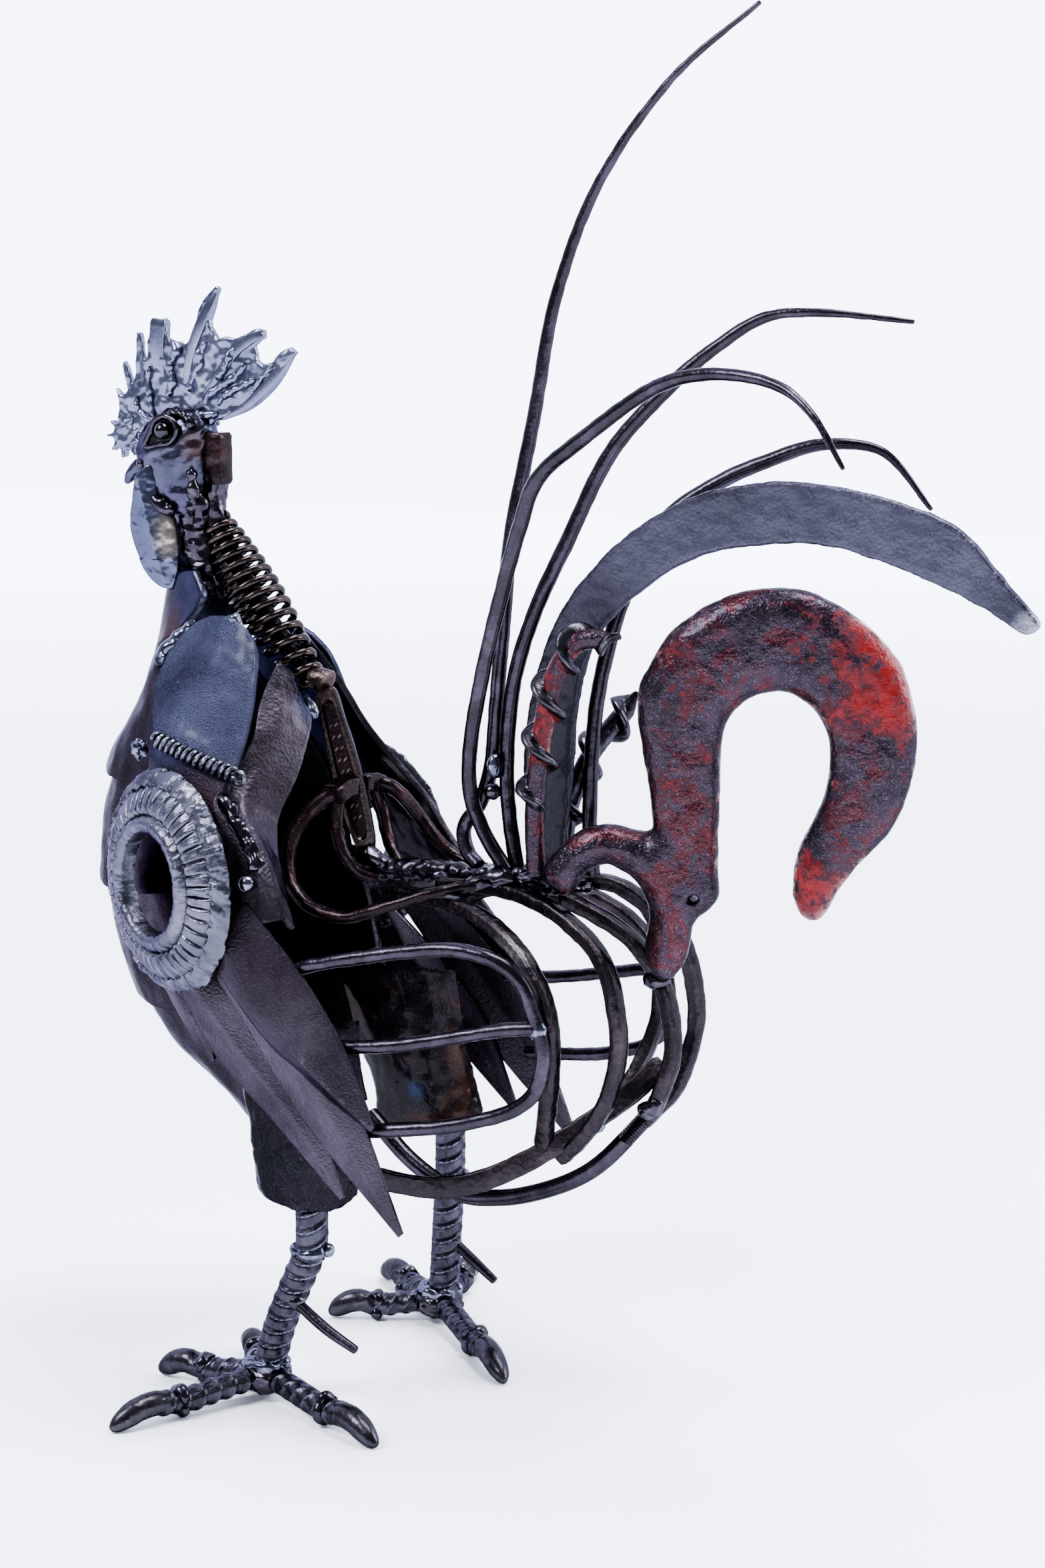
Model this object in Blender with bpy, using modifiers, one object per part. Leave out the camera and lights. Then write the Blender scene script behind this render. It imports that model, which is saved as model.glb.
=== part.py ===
"""A standing rooster welded from scrap: tools, tines, rods, springs, cut plate and cast wheels.

Metres, +Z up, origin on the ground under the middle of the bird. The beak points to -X, the tail
to +X, and the bird's left side is -Y. The pose is drawn in units of a bird 700 units tall, so at
the real height a unit is a millimetre. Every bar, sheet and casting has its own real size below.
"""

import math

import bmesh
import bpy
from mathutils import Matrix, Vector
from mathutils.bvhtree import BVHTree

# The whole bird
HEIGHT = 0.700
POSE_UNITS = 700
POSE_CENTRE = (17.5, -3.5)
WELD_GAP = 0.0003

# Head and neck
SKULL_SIDES = 12
SKULL_SQUARENESS = 0.75
BEAK_RADIUS = 0.0038
COMB_THICKNESS = 0.0055
ROWEL_RADIUS = 0.0120
ROWEL_TEETH = 9
ROWEL_ROOT_SHARE = 0.62
ROWEL_THICKNESS = 0.0063
EYE_RADIUS = 0.0048
EYE_RING_WIRE = 0.0019
EYE_SIDEWAYS = 14.5
WATTLE_SIDEWAYS = 12.5
WATTLE_THICKNESS = 0.0050
NAPE_BAR_WIDTH = 0.0130
NAPE_BAR_CHAMFER = 0.0020
NECK_POST_RADIUS = 0.0050
COLUMN_SIDES = 8
SPRING_WIRE = 0.0020
SPRING_TURNS = 14
SPRING_END_RADIUS = 0.0058
SPRING_BELLY_RADIUS = 0.0132
SPRING_TURN_STEPS = 6
NECK_LEAN = math.radians(37)
NECK_CORE_RADIUS = 0.0034

# Sheets
BREAST_SHEET = 0.0045
BREAST_LIFT = 0.0060
BREAST_ROWS = 2
BREAST_COLUMNS = 5
NECK_SHEET = 0.0030
SHOULDER_SHEET = 0.0035
BLADE_SHEET = 0.0022
THIGH_SHEET = 0.0030
STRIP_WIDTH = 0.0075
STRIP_TEETH = 6
STRIP_ROOT_SHARE = 0.72

# Shoulder discs
DISC_RADIUS = 0.0580
DISC_COLLAR_RADIUS = 0.0350
DISC_HOLE_RADIUS = 0.0260
DISC_DOME_HEIGHT = 0.0150
DISC_WALL = 0.0050
DISC_FLUTES = 18
DISC_FLUTE_DEPTH = 0.0016
DISC_YAW = math.radians(22)

# Bars and rods
FORK_RADIUS = 0.0037
FORK_TINE_RADIUS = 0.0035
WRENCH_WIDTH = 0.0155
WRENCH_THICKNESS = 0.0070
WRENCH_PANEL_DEPTH = 0.0012
WRENCH_PANEL_WIDTH_SHARE = 0.62
WRENCH_PANEL_LENGTH_SHARE = 0.72
HANDLE_RADIUS = 0.0030
HANDLE_ARM_RADIUS = 0.0028
HANDLE_ROOT_WIDTH = 0.0125
HANDLE_ROOT_DEPTH = 0.0100
HANDLE_ROOT_CHAMFER = 0.0015
BACK_BAR_RADIUS = 0.0045
RIB_WIDTH = 0.0094
RIB_DEPTH = 0.0075
TINE_WIDTH = 0.0110
TINE_DEPTH = 0.0050
BELLY_ROD_RADIUS = 0.0045
THREAD_DEPTH = 0.0005
THREAD_PITCH = 0.0040
LEG_RADIUS = 0.0083
TOE_RADIUS = 0.0065
REBAR_RIB_HEIGHT = 0.0009
REBAR_RIB_PITCH = 0.0130
SPUR_RADIUS = 0.0025
KNEE_RADIUS = 0.0098
HUB_RADIUS = 0.0120

# Tail and hook
TAIL_ROD_RADIUS = 0.0039
TAIL_ROD_TIP = 0.0012
TAIL_ROD_TAPER_FROM = 0.55
SICKLE_THICKNESS = 0.0050
SICKLE_SIDEWAYS = 8.0
AUGER_RADIUS = 0.0105
AUGER_CORE = 0.0050
AUGER_PITCH = 0.0260
AUGER_SHANK_SHARE = 0.22
AUGER_SIDES = 6
AUGER_TIP_SHARE = 0.25
AUGER_TAPER_FROM = 0.9
HOOK_THICKNESS = 0.0230
HOOK_ROUNDING = 0.0062
HOOK_PIN_RADIUS = 0.0021
HOOK_YAW = math.radians(17)

LEFT = -1
RIGHT = 1
SIDE_NAMES = {LEFT: "left", RIGHT: "right"}
UNIT = HEIGHT / POSE_UNITS
CAP_WELD = 1e-6

# Colour, roughness and metallic value of each kind of metal
FINISHES = {
    "blackened": ((0.055, 0.050, 0.060), 0.38, 0.85),
    "bare": ((0.28, 0.28, 0.31), 0.34, 1.0),
    "cast": ((0.22, 0.22, 0.24), 0.50, 0.90),
    "rusty": ((0.10, 0.065, 0.050), 0.48, 0.80),
    "spring": ((0.12, 0.080, 0.055), 0.35, 0.95),
    "red_paint": ((0.28, 0.022, 0.018), 0.45, 0.20),
}

# Body sections: height, front of the breast, middle of the section, half width
BODY = (
    (425, -197, -190, 12),
    (405, -199, -188, 15),
    (380, -205, -180, 24),
    (350, -214, -166, 36),
    (320, -231, -157, 47),
    (290, -237, -151, 52),
    (255, -238, -148, 52),
    (225, -231, -142, 50),
    (195, -218, -134, 45),
    (170, -200, -124, 40),
    (148, -163, -114, 33),
    (124, -133, -104, 27),
)


for old in list(bpy.data.objects):
    bpy.data.objects.remove(old)

PARTS = bpy.data.collections.new("scrap_rooster")
HELPERS = bpy.data.collections.new("cutters_and_guides")
bpy.context.scene.collection.children.link(PARTS)
bpy.context.scene.collection.children.link(HELPERS)
ROOT = bpy.data.objects.new("rooster_root", None)
PARTS.objects.link(ROOT)
PIECES = []


def at(x, y, z):
    """A point of the pose in metres."""
    return Vector((x - POSE_CENTRE[0], y - POSE_CENTRE[1], z)) * UNIT


def mirrored(points, side):
    """Points drawn for the left side, on the side asked for."""
    return [(p[0], p[1] * -side) + tuple(p[2:]) for p in points]


def moved(points, shift):
    """Pose points set over by a shift in pose units."""
    return [tuple(a + b for a, b in zip(p, shift)) for p in points]


def smooth_path(points, steps):
    """A Catmull-Rom curve through rows of numbers, with this many steps a span."""
    rows = [tuple(map(float, p)) for p in points]
    first = tuple(2 * a - b for a, b in zip(rows[0], rows[1]))
    last = tuple(2 * a - b for a, b in zip(rows[-1], rows[-2]))
    rows = [first] + rows + [last]
    path = []
    for i in range(1, len(rows) - 2):
        p0, p1, p2, p3 = rows[i - 1 : i + 3]
        for step in range(steps):
            t = step / steps
            path.append(
                tuple(
                    0.5 * (2 * b + (c - a) * t + (2 * a - 5 * b + 4 * c - d) * t * t
                           + (3 * b - a - 3 * c + d) * t ** 3)
                    for a, b, c, d in zip(p0, p1, p2, p3)
                )
            )
    path.append(rows[-2])
    return path


def between(table, value):
    """The row of a table at this value of its first column, worked out between its rows."""
    rows = sorted(table)
    value = min(max(value, rows[0][0]), rows[-1][0])
    for low, high in zip(rows, rows[1:]):
        if value <= high[0]:
            share = (value - low[0]) / (high[0] - low[0])
            return [a + (b - a) * share for a, b in zip(low, high)]
    return list(rows[-1])


def helper(name, data, matrix=None):
    """An object that shapes others and isn't part of the bird."""
    obj = bpy.data.objects.new(name, data)
    HELPERS.objects.link(obj)
    obj.hide_render = True
    obj.display_type = "WIRE"
    if matrix is not None:
        obj.matrix_world = matrix
    return obj


def evaluated_mesh(obj):
    bpy.context.view_layer.update()
    graph = bpy.context.evaluated_depsgraph_get()
    return bpy.data.meshes.new_from_object(obj.evaluated_get(graph))


def cleaned(mesh):
    """Welds loose caps, splits bent faces into triangles and turns every face outwards."""
    bm = bmesh.new()
    bm.from_mesh(mesh)
    bmesh.ops.remove_doubles(bm, verts=bm.verts, dist=CAP_WELD)
    bmesh.ops.triangulate(bm, faces=[face for face in bm.faces if len(face.verts) > 3])
    bmesh.ops.recalc_face_normals(bm, faces=bm.faces)
    bm.to_mesh(mesh)
    bm.free()
    return mesh


def settle(obj):
    """Turns an object's modifiers or curve into plain mesh."""
    mesh = cleaned(evaluated_mesh(obj))
    if obj.type == "MESH":
        obj.modifiers.clear()
        obj.data = mesh
        return obj
    matrix = obj.matrix_world.copy()
    name = obj.name
    bpy.data.objects.remove(obj)
    return helper(name, mesh, matrix)


def boolean(obj, other, operation):
    step = obj.modifiers.new(operation.lower(), "BOOLEAN")
    step.operation = operation
    step.object = other
    return settle(obj)


def fused(shapes):
    """Shapes welded into one body."""
    whole = shapes[0]
    for shape in shapes[1:]:
        boolean(whole, shape, "UNION")
        bpy.data.objects.remove(shape)
    return whole


def piece(name, obj, finish, smooth_angle=40):
    """Puts a finished shape into the bird under its own name and material."""
    colour, roughness, metallic = FINISHES[finish]
    material = bpy.data.materials.new(name + "_" + finish)
    material.use_nodes = True
    shader = material.node_tree.nodes["Principled BSDF"]
    shader.inputs["Base Color"].default_value = colour + (1,)
    shader.inputs["Roughness"].default_value = roughness
    shader.inputs["Metallic"].default_value = metallic
    HELPERS.objects.unlink(obj)
    PARTS.objects.link(obj)
    obj.name = name
    obj.hide_render = False
    obj.display_type = "TEXTURED"
    obj.parent = ROOT
    obj.data.materials.clear()
    obj.data.materials.append(material)
    if smooth_angle:
        obj.data.shade_smooth()
        obj.data.set_sharp_from_angle(angle=math.radians(smooth_angle))
    PIECES.append(obj)
    return obj


def rod(points, radius, steps=3, resolution=1, cyclic=False):
    """A round bar through points of the pose; a fourth number scales its radius there.

    It has 6 sides, or 4 where resolution is 0.
    """
    rows = [tuple(p) if len(p) == 4 else tuple(p) + (1,) for p in points]
    path = smooth_path(rows, steps) if steps > 1 else rows
    curve = bpy.data.curves.new("rod", "CURVE")
    curve.dimensions = "3D"
    curve.bevel_depth = radius
    curve.bevel_resolution = resolution
    curve.use_fill_caps = not cyclic
    spline = curve.splines.new("POLY")
    spline.points.add(len(path) - 1)
    spline.use_cyclic_u = cyclic
    for point, (x, y, z, scale) in zip(spline.points, path):
        point.co = (*at(x, y, z), 1)
        point.radius = scale
    return settle(helper("rod", curve))


def loft(rings):
    """A skin over rings of points in metres, with flat ends."""
    bm = bmesh.new()
    grid = [[bm.verts.new(p) for p in ring] for ring in rings]
    count = len(grid[0])
    for low, high in zip(grid, grid[1:]):
        for i in range(count):
            j = (i + 1) % count
            bm.faces.new((low[i], low[j], high[j], high[i]))
    bm.faces.new(grid[0])
    bm.faces.new(grid[-1])
    mesh = bpy.data.meshes.new("loft")
    bm.to_mesh(mesh)
    bm.free()
    return helper("loft", cleaned(mesh))


def swept(points, section, side, steps=3):
    """Sweeps a section, in metres, along points of the pose; side is the way its first axis faces."""
    path = [at(*p) for p in smooth_path(points, steps)]
    rings = []
    for i, point in enumerate(path):
        ahead = path[min(i + 1, len(path) - 1)] - path[max(i - 1, 0)]
        ahead.normalize()
        across = (side - ahead * side.dot(ahead)).normalized()
        above = ahead.cross(across)
        rings.append([point + across * a + above * b for a, b in section])
    return loft(rings)


def box_section(width, depth, chamfer=0.0):
    """The corners of a flat bar, with chamfered edges where a chamfer is given."""
    w, d, c = width / 2, depth / 2, chamfer
    if not chamfer:
        return ((w, -d), (w, d), (-w, d), (-w, -d))
    return (
        (w, -d + c), (w, d - c), (w - c, d), (c - w, d),
        (-w, d - c), (-w, c - d), (c - w, -d), (w - c, -d),
    )


def sheet(rows, thickness):
    """A bent sheet through rows of pose points."""
    bm = bmesh.new()
    grid = [[bm.verts.new(at(*p)) for p in row] for row in rows]
    for low, high in zip(grid, grid[1:]):
        for i in range(len(low) - 1):
            bm.faces.new((low[i], low[i + 1], high[i + 1], high[i]))
    bmesh.ops.recalc_face_normals(bm, faces=bm.faces)
    mesh = bpy.data.meshes.new("sheet")
    bm.to_mesh(mesh)
    bm.free()
    obj = helper("sheet", mesh)
    thicken = obj.modifiers.new("thickness", "SOLIDIFY")
    thicken.thickness = thickness
    thicken.offset = 0
    thicken.use_even_offset = True
    return settle(obj)


def plate(outline, thickness, matrix, rounding=0.0, holes=()):
    """A flat plate cut to an outline in metres, standing in the plane that the matrix gives."""
    curve = bpy.data.curves.new("plate", "CURVE")
    curve.dimensions = "2D"
    curve.fill_mode = "BOTH"
    curve.extrude = thickness / 2 - rounding
    curve.bevel_depth = rounding
    curve.bevel_resolution = 1
    curve.offset = -rounding
    for loop in (outline, *holes):
        spline = curve.splines.new("POLY")
        spline.points.add(len(loop) - 1)
        spline.use_cyclic_u = True
        for point, (x, y) in zip(spline.points, loop):
            point.co = (x, y, 0, 1)
    return settle(helper("plate", curve, matrix))


def standing_frame(origin, yaw=0.0):
    """A frame whose first axis is level and turned by yaw, and whose second is straight up."""
    ahead = Vector((math.cos(yaw), math.sin(yaw), 0))
    up = Vector((0, 0, 1))
    frame = Matrix((ahead, up, ahead.cross(up))).transposed().to_4x4()
    frame.translation = origin
    return frame


def circle(radius, count, centre=(0.0, 0.0)):
    turn = 2 * math.pi / count
    return [
        (centre[0] + radius * math.cos(i * turn), centre[1] + radius * math.sin(i * turn))
        for i in range(count)
    ]


def median_outline(points):
    """Pose points (x, z) as an outline in metres, for a plate in a median frame."""
    return [(at(x, 0, z).x, z * UNIT) for x, z in points]


def median_frame(sideways):
    """The frame of a plate that stands along the bird, this far to the right of its middle plane."""
    return standing_frame(Vector((0, at(0, sideways, 0).y, 0)))


def ball(centre, radius, scale=(1, 1, 1)):
    bm = bmesh.new()
    bmesh.ops.create_uvsphere(bm, u_segments=8, v_segments=6, radius=radius)
    mesh = bpy.data.meshes.new("ball")
    bm.to_mesh(mesh)
    bm.free()
    return helper("ball", mesh, Matrix.Translation(centre) @ Matrix.Diagonal((*scale, 1)))


def skull():
    """A weld-textured block, narrow at the crown and the jaw."""
    sections = (
        (448, -182, 9, 7), (456, -190, 16, 12), (468, -196, 21, 14), (482, -197, 23, 15),
        (494, -195, 22, 14), (501, -192, 17, 10), (506, -190, 11, 5),
    )
    rings = []
    for z, x, long_radius, wide_radius in sections:
        ring = []
        for a, b in circle(1, SKULL_SIDES):
            a = math.copysign(abs(a) ** SKULL_SQUARENESS, a)
            b = math.copysign(abs(b) ** SKULL_SQUARENESS, b)
            ring.append(at(x + long_radius * a, wide_radius * b, z))
        rings.append(ring)
    piece("skull", loft(rings), "bare")


def beak():
    points = (
        (-214, 0, 476, 1.1), (-220, 0, 476, 1.05), (-225, 0, 473, 0.95), (-229, 0, 468, 0.75),
        (-232, 0, 465, 0.3),
    )
    piece("beak", rod(points, BEAK_RADIUS, steps=1), "bare")


def comb():
    """Cut spikes on a web, and the small toothed rowel over the beak."""
    outline = (
        (-168, 501), (-159, 504), (-149, 509), (-140, 515), (-134, 523), (-127, 528), (-119, 536),
        (-123, 539), (-129, 536), (-134, 531), (-139, 529), (-144, 532), (-145, 539), (-139, 543),
        (-139, 547), (-144, 548), (-151, 545), (-158, 543), (-162, 544), (-168, 542), (-173, 549),
        (-174, 554), (-170, 561), (-167, 568), (-169, 570), (-174, 566), (-179, 559), (-183, 550),
        (-185, 544), (-189, 540), (-194, 539), (-201, 543), (-202, 553), (-210, 553), (-213, 545),
        (-214, 532), (-216, 531), (-218, 545), (-221, 546), (-222, 529), (-224, 516), (-229, 531),
        (-231, 530), (-228, 515), (-231, 512), (-236, 516), (-234, 508), (-234, 498), (-222, 492),
        (-205, 496), (-190, 497), (-178, 495),
    )
    frame = median_frame(0)
    fan = plate(median_outline(outline), COMB_THICKNESS, frame)
    centre = median_outline(((-230, 491),))[0]
    teeth = []
    for i in range(2 * ROWEL_TEETH):
        reach = ROWEL_RADIUS * (ROWEL_ROOT_SHARE if i % 2 else 1.0)
        angle = math.pi * i / ROWEL_TEETH
        teeth.append((centre[0] + reach * math.cos(angle), centre[1] + reach * math.sin(angle)))
    rowel = plate(teeth, ROWEL_THICKNESS, frame)
    piece("comb", fused([fan, rowel]), "bare", 0)


def eyes():
    """A ball in a ring of wire that is pulled to a point below the front."""
    outline = (
        (-186, 495), (-188, 501), (-194, 503), (-200, 500),
        (-203, 494), (-206, 487), (-198, 488), (-190, 489),
    )
    for side in (LEFT, RIGHT):
        eyeball = ball(at(-194, EYE_SIDEWAYS * side, 495), EYE_RADIUS)
        ring = [(x, EYE_SIDEWAYS * side, z) for x, z in outline]
        wire = rod(ring, EYE_RING_WIRE, steps=1, cyclic=True)
        piece("eye_" + SIDE_NAMES[side], fused([eyeball, wire]), "bare")


def wattles():
    outline = (
        (-207, 477), (-214, 469), (-217, 459), (-220, 447), (-219, 438), (-213, 424), (-205, 415),
        (-198, 412), (-190, 412), (-188, 418), (-188, 432), (-191, 448), (-199, 456), (-202, 474),
    )
    for side in (LEFT, RIGHT):
        frame = median_frame(WATTLE_SIDEWAYS * side)
        blank = plate(median_outline(outline), WATTLE_THICKNESS, frame)
        piece("wattle_" + SIDE_NAMES[side], blank, "bare")


def nape_bar():
    """The block behind the head, its post, and the column of the throat."""
    section = box_section(NAPE_BAR_WIDTH, NAPE_BAR_WIDTH, NAPE_BAR_CHAMFER)
    block = swept(((-170, 0, 494), (-170, 0, 467)), section, Vector((0, 1, 0)), steps=1)
    post = rod(((-173, 0, 472), (-174, 0, 460), (-172, 0, 444)), NECK_POST_RADIUS, steps=1)
    # Height, middle, half length and half width of the throat column between the wattles
    sections = ((456, -187, 10, 8), (438, -190, 9, 8.5), (421, -187, 9, 8), (408, -184, 7, 6.5))
    rings = [
        [at(x + long_radius * a, wide_radius * b, z) for a, b in circle(1, COLUMN_SIDES)]
        for z, x, long_radius, wide_radius in sections
    ]
    piece("nape_bar", fused([block, post, loft(rings)]), "rusty")


def neck():
    """The barrel spring and the rod inside it."""
    axis = ((-172, 0, 448), (-157, 0, 422), (-137, 0, 395), (-111, 0, 364))
    piece("neck_core", rod(axis, NECK_CORE_RADIUS), "blackened")
    line = smooth_path(axis, 40)
    count = SPRING_TURNS * SPRING_TURN_STEPS
    points = []
    for i in range(count + 1):
        share = i / count
        x, y, z = line[round(share * (len(line) - 1))]
        swell = math.sin(math.pi * share)
        radius = (SPRING_END_RADIUS + (SPRING_BELLY_RADIUS - SPRING_END_RADIUS) * swell) / UNIT
        angle = 2 * math.pi * i / SPRING_TURN_STEPS
        # Each turn stands square to the neck, which leans back.
        points.append(
            (
                x + radius * math.cos(angle) * math.cos(NECK_LEAN),
                y + radius * math.sin(angle),
                z + radius * math.cos(angle) * math.sin(NECK_LEAN),
            )
        )
    piece("neck_spring", rod(points, SPRING_WIRE, steps=1, resolution=0), "spring")


def body_point(angle, z, lift):
    """A point of the breast: angle 0 is the front, 90 the bird's left, and lift is outwards."""
    _, front, middle, half_width = between(BODY, z)
    turn = math.radians(angle)
    reach = lift / UNIT
    return (
        middle - (middle - front + reach) * math.cos(turn),
        -(half_width + reach) * math.sin(turn),
        z,
    )


def breast_sheet(name, first, last, low, high, droop):
    """One curved feather plate: its lower edge is rounded and stands off the plate below."""
    rows = []
    for v in range(BREAST_ROWS + 1):
        row = []
        down = v / BREAST_ROWS
        for u in range(BREAST_COLUMNS + 1):
            across = u / BREAST_COLUMNS
            bulge = 1 - (2 * across - 1) ** 2
            z = high + (low - droop * bulge - high) * down
            row.append(body_point(first + (last - first) * across, z, BREAST_LIFT * down))
        rows.append(row)
    piece(name, sheet(rows, BREAST_SHEET), "blackened")


def breast():
    throat = (
        ((-171, -20, 423), (-186, -13, 421), (-196, -6, 420), (-198, 0, 420)),
        ((-162, -26, 409), (-184, -18, 406), (-198, -9, 404), (-201, 0, 403)),
        ((-176, -27, 392), (-190, -22, 385), (-202, -12, 378), (-206, 0, 375)),
    )
    whole = [list(row) + mirrored(row[-2::-1], RIGHT) for row in throat]
    piece("throat_plate", sheet(whole, BREAST_SHEET), "bare")
    # Level, lowest and highest edge, and how far round the body it reaches on the left and right
    levels = (("upper", 322, 386, 92, 92), ("middle", 262, 330, 88, 104), ("lower", 200, 270, 94, 112))
    for side in (LEFT, RIGHT):
        for level, low, high, left_end, right_end in levels:
            name = "breast_plate_" + level + "_" + SIDE_NAMES[side]
            end = left_end if side == LEFT else right_end
            breast_sheet(name, -side * 1.5, -side * end, low, high, 10)
    breast_sheet("belly_plate", -95, 95, 132, 208, 8)


def shoulder_discs():
    """Cast wheels: a fluted dome, a raised collar and a wide hole, hollow behind."""
    collar, hole = DISC_COLLAR_RADIUS, DISC_HOLE_RADIUS
    flank = DISC_RADIUS - collar
    dome = DISC_DOME_HEIGHT
    profile = (
        (hole, dome), (collar - 0.0020, dome + 0.0015), (collar, dome - 0.0005),
        (collar + 0.35 * flank, dome * 0.84), (collar + 0.75 * flank, dome * 0.52),
        (DISC_RADIUS, dome * 0.14), (DISC_RADIUS - DISC_WALL, 0),
        (collar + 0.4 * flank, dome * 0.76 - DISC_WALL), (hole, dome - 2 * DISC_WALL),
    )
    fluted = (collar + 0.001, DISC_RADIUS - 0.002)
    centres = {LEFT: (-146, -80, 271), RIGHT: (-148, 77, 268)}
    for side, centre in centres.items():
        outline = bpy.data.meshes.new("disc_profile")
        corners = [(r, 0, z) for r, z in profile]
        edges = [(i, (i + 1) % len(corners)) for i in range(len(corners))]
        outline.from_pydata(corners, edges, [])
        wheel = helper("disc", outline)
        turn = wheel.modifiers.new("turn", "SCREW")
        turn.steps = 2 * DISC_FLUTES
        turn.render_steps = turn.steps
        turn.use_merge_vertices = True
        turn.merge_threshold = 0.00001
        settle(wheel)
        for vertex in wheel.data.vertices:
            reach = math.hypot(vertex.co.x, vertex.co.y)
            angle = math.atan2(vertex.co.y, vertex.co.x)
            if fluted[0] < reach < fluted[1] and vertex.co.z > dome * 0.3:
                vertex.co.z += DISC_FLUTE_DEPTH * math.cos(angle * DISC_FLUTES)
        outward = Vector((-math.sin(DISC_YAW), side * math.cos(DISC_YAW), 0))
        up = Vector((0, 0, 1))
        frame = Matrix((up.cross(outward), up, outward)).transposed().to_4x4()
        frame.translation = at(*centre)
        wheel.matrix_world = frame
        piece("shoulder_disc_" + SIDE_NAMES[side], wheel, "cast", 50)


def neck_plates():
    """Bent sheets with a rounded top, and the toothed strip welded along their foot."""
    rows = (
        ((-176, -62, 300), (-146, -74, 298), (-117, -80, 296)),
        ((-170, -62, 338), (-142, -66, 332), (-115, -66, 326)),
        ((-176, -52, 360), (-144, -58, 350), (-113, -57, 348)),
        ((-173, -42, 382), (-143, -48, 375), (-114, -49, 367)),
        ((-162, -35, 396), (-139, -40, 392), (-118, -41, 386)),
        ((-152, -33, 401), (-139, -36, 402), (-127, -37, 397)),
    )
    strip = ((-165, -67, 341), (-138, -71, 334), (-111, -71, 327))
    # The right plate was set further forward and lower than the left one.
    shifts = {LEFT: (0, 0, 0), RIGHT: (-11, 1, -11)}
    for side in (LEFT, RIGHT):
        rows_here = [moved(mirrored(row, side), shifts[side]) for row in rows]
        back = sheet(rows_here, NECK_SHEET)
        line = smooth_path(moved(mirrored(strip, side), shifts[side]), STRIP_TEETH)
        teeth = []
        for i, (x, y, z) in enumerate(line):
            teeth.append((x, y, z, 1.0 if i % 2 else STRIP_ROOT_SHARE))
        rack = rod(teeth, STRIP_WIDTH / 2, steps=1, resolution=0)
        piece("neck_plate_" + SIDE_NAMES[side], fused([back, rack]), "blackened", 30)


def shoulder_plates():
    """Long hammered sheets from the nape to the wing; the right one reaches back to the tail."""
    left = (
        ((-120, -21, 377), (-118, -19, 378), (-115, -17, 374)),
        ((-121, -28, 369), (-117, -24, 368), (-110, -16, 363)),
        ((-120, -38, 357), (-112, -29, 355), (-104, -15, 350)),
        ((-116, -50, 342), (-109, -38, 341), (-101, -23, 338)),
        ((-118, -64, 327), (-110, -56, 325), (-99, -37, 320)),
        ((-121, -76, 314), (-109, -70, 313), (-98, -52, 306)),
        ((-116, -81, 302), (-100, -76, 303), (-94, -62, 295)),
        ((-107, -85, 287), (-88, -80, 290), (-88, -69, 283)),
        ((-98, -88, 271), (-79, -84, 275), (-79, -77, 270)),
        ((-87, -90, 256), (-72, -87, 260), (-69, -84, 255)),
    )
    right = (
        ((-148, 36, 386), (-141, 28, 391), (-135, 22, 388)),
        ((-144, 48, 362), (-128, 38, 366), (-116, 30, 363)),
        ((-138, 59, 338), (-118, 49, 338), (-102, 40, 335)),
        ((-126, 66, 308), (-100, 58, 306), (-75, 50, 302)),
        ((-122, 74, 286), (-94, 66, 282), (-66, 58, 282)),
        ((-108, 78, 262), (-84, 71, 262), (-57, 62, 266)),
    )
    for side, rows in ((LEFT, left), (RIGHT, right)):
        piece("shoulder_plate_" + SIDE_NAMES[side], sheet(rows, SHOULDER_SHEET), "blackened", 30)


def wing_blades():
    """Four long cut blades fanned down to the back, the first one folded along its middle."""
    blades = (
        (
            ((-116, -93, 240), (-108, -94.5, 250), (-93, -90, 268)),
            ((-84, -92, 203), (-76, -94.5, 212), (-61, -90, 236)),
            ((-52, -92, 180), (-46, -94, 186), (-36, -90, 203)),
            ((-18, -92, 161), (-17, -92.5, 162), (-16, -92, 163)),
        ),
        (
            ((-126, -89, 242), (-117, -89, 247), (-108, -89, 252)),
            ((-100, -89, 212), (-86, -89, 219), (-72, -89, 226)),
            ((-62, -89, 162), (-48, -89, 172), (-34, -89, 182)),
            ((-4, -89, 108), (-3, -89, 109), (-2, -89, 110)),
        ),
        (
            ((-141, -85, 219), (-132, -86, 226), (-123, -86.5, 232)),
            ((-114, -86.5, 184), (-102, -86.5, 194), (-92, -86.5, 206)),
            ((-80, -86.5, 156), (-70, -86.5, 164), (-60, -86.5, 172)),
            ((-40, -86.5, 121), (-39, -86.5, 122), (-38, -86.5, 123)),
        ),
        (
            ((-163, -74, 224), (-152, -79, 230), (-140, -83, 234)),
            ((-142, -79, 200), (-134, -82, 206), (-126, -84, 212)),
            ((-120, -83.9, 180), (-119, -83.9, 181), (-118, -83.9, 182)),
        ),
    )
    for side in (LEFT, RIGHT):
        for number, rows in enumerate(blades, start=1):
            blank = sheet([mirrored(row, side) for row in rows], BLADE_SHEET)
            piece("wing_blade_" + str(number) + "_" + SIDE_NAMES[side], blank, "blackened", 20)


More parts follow.
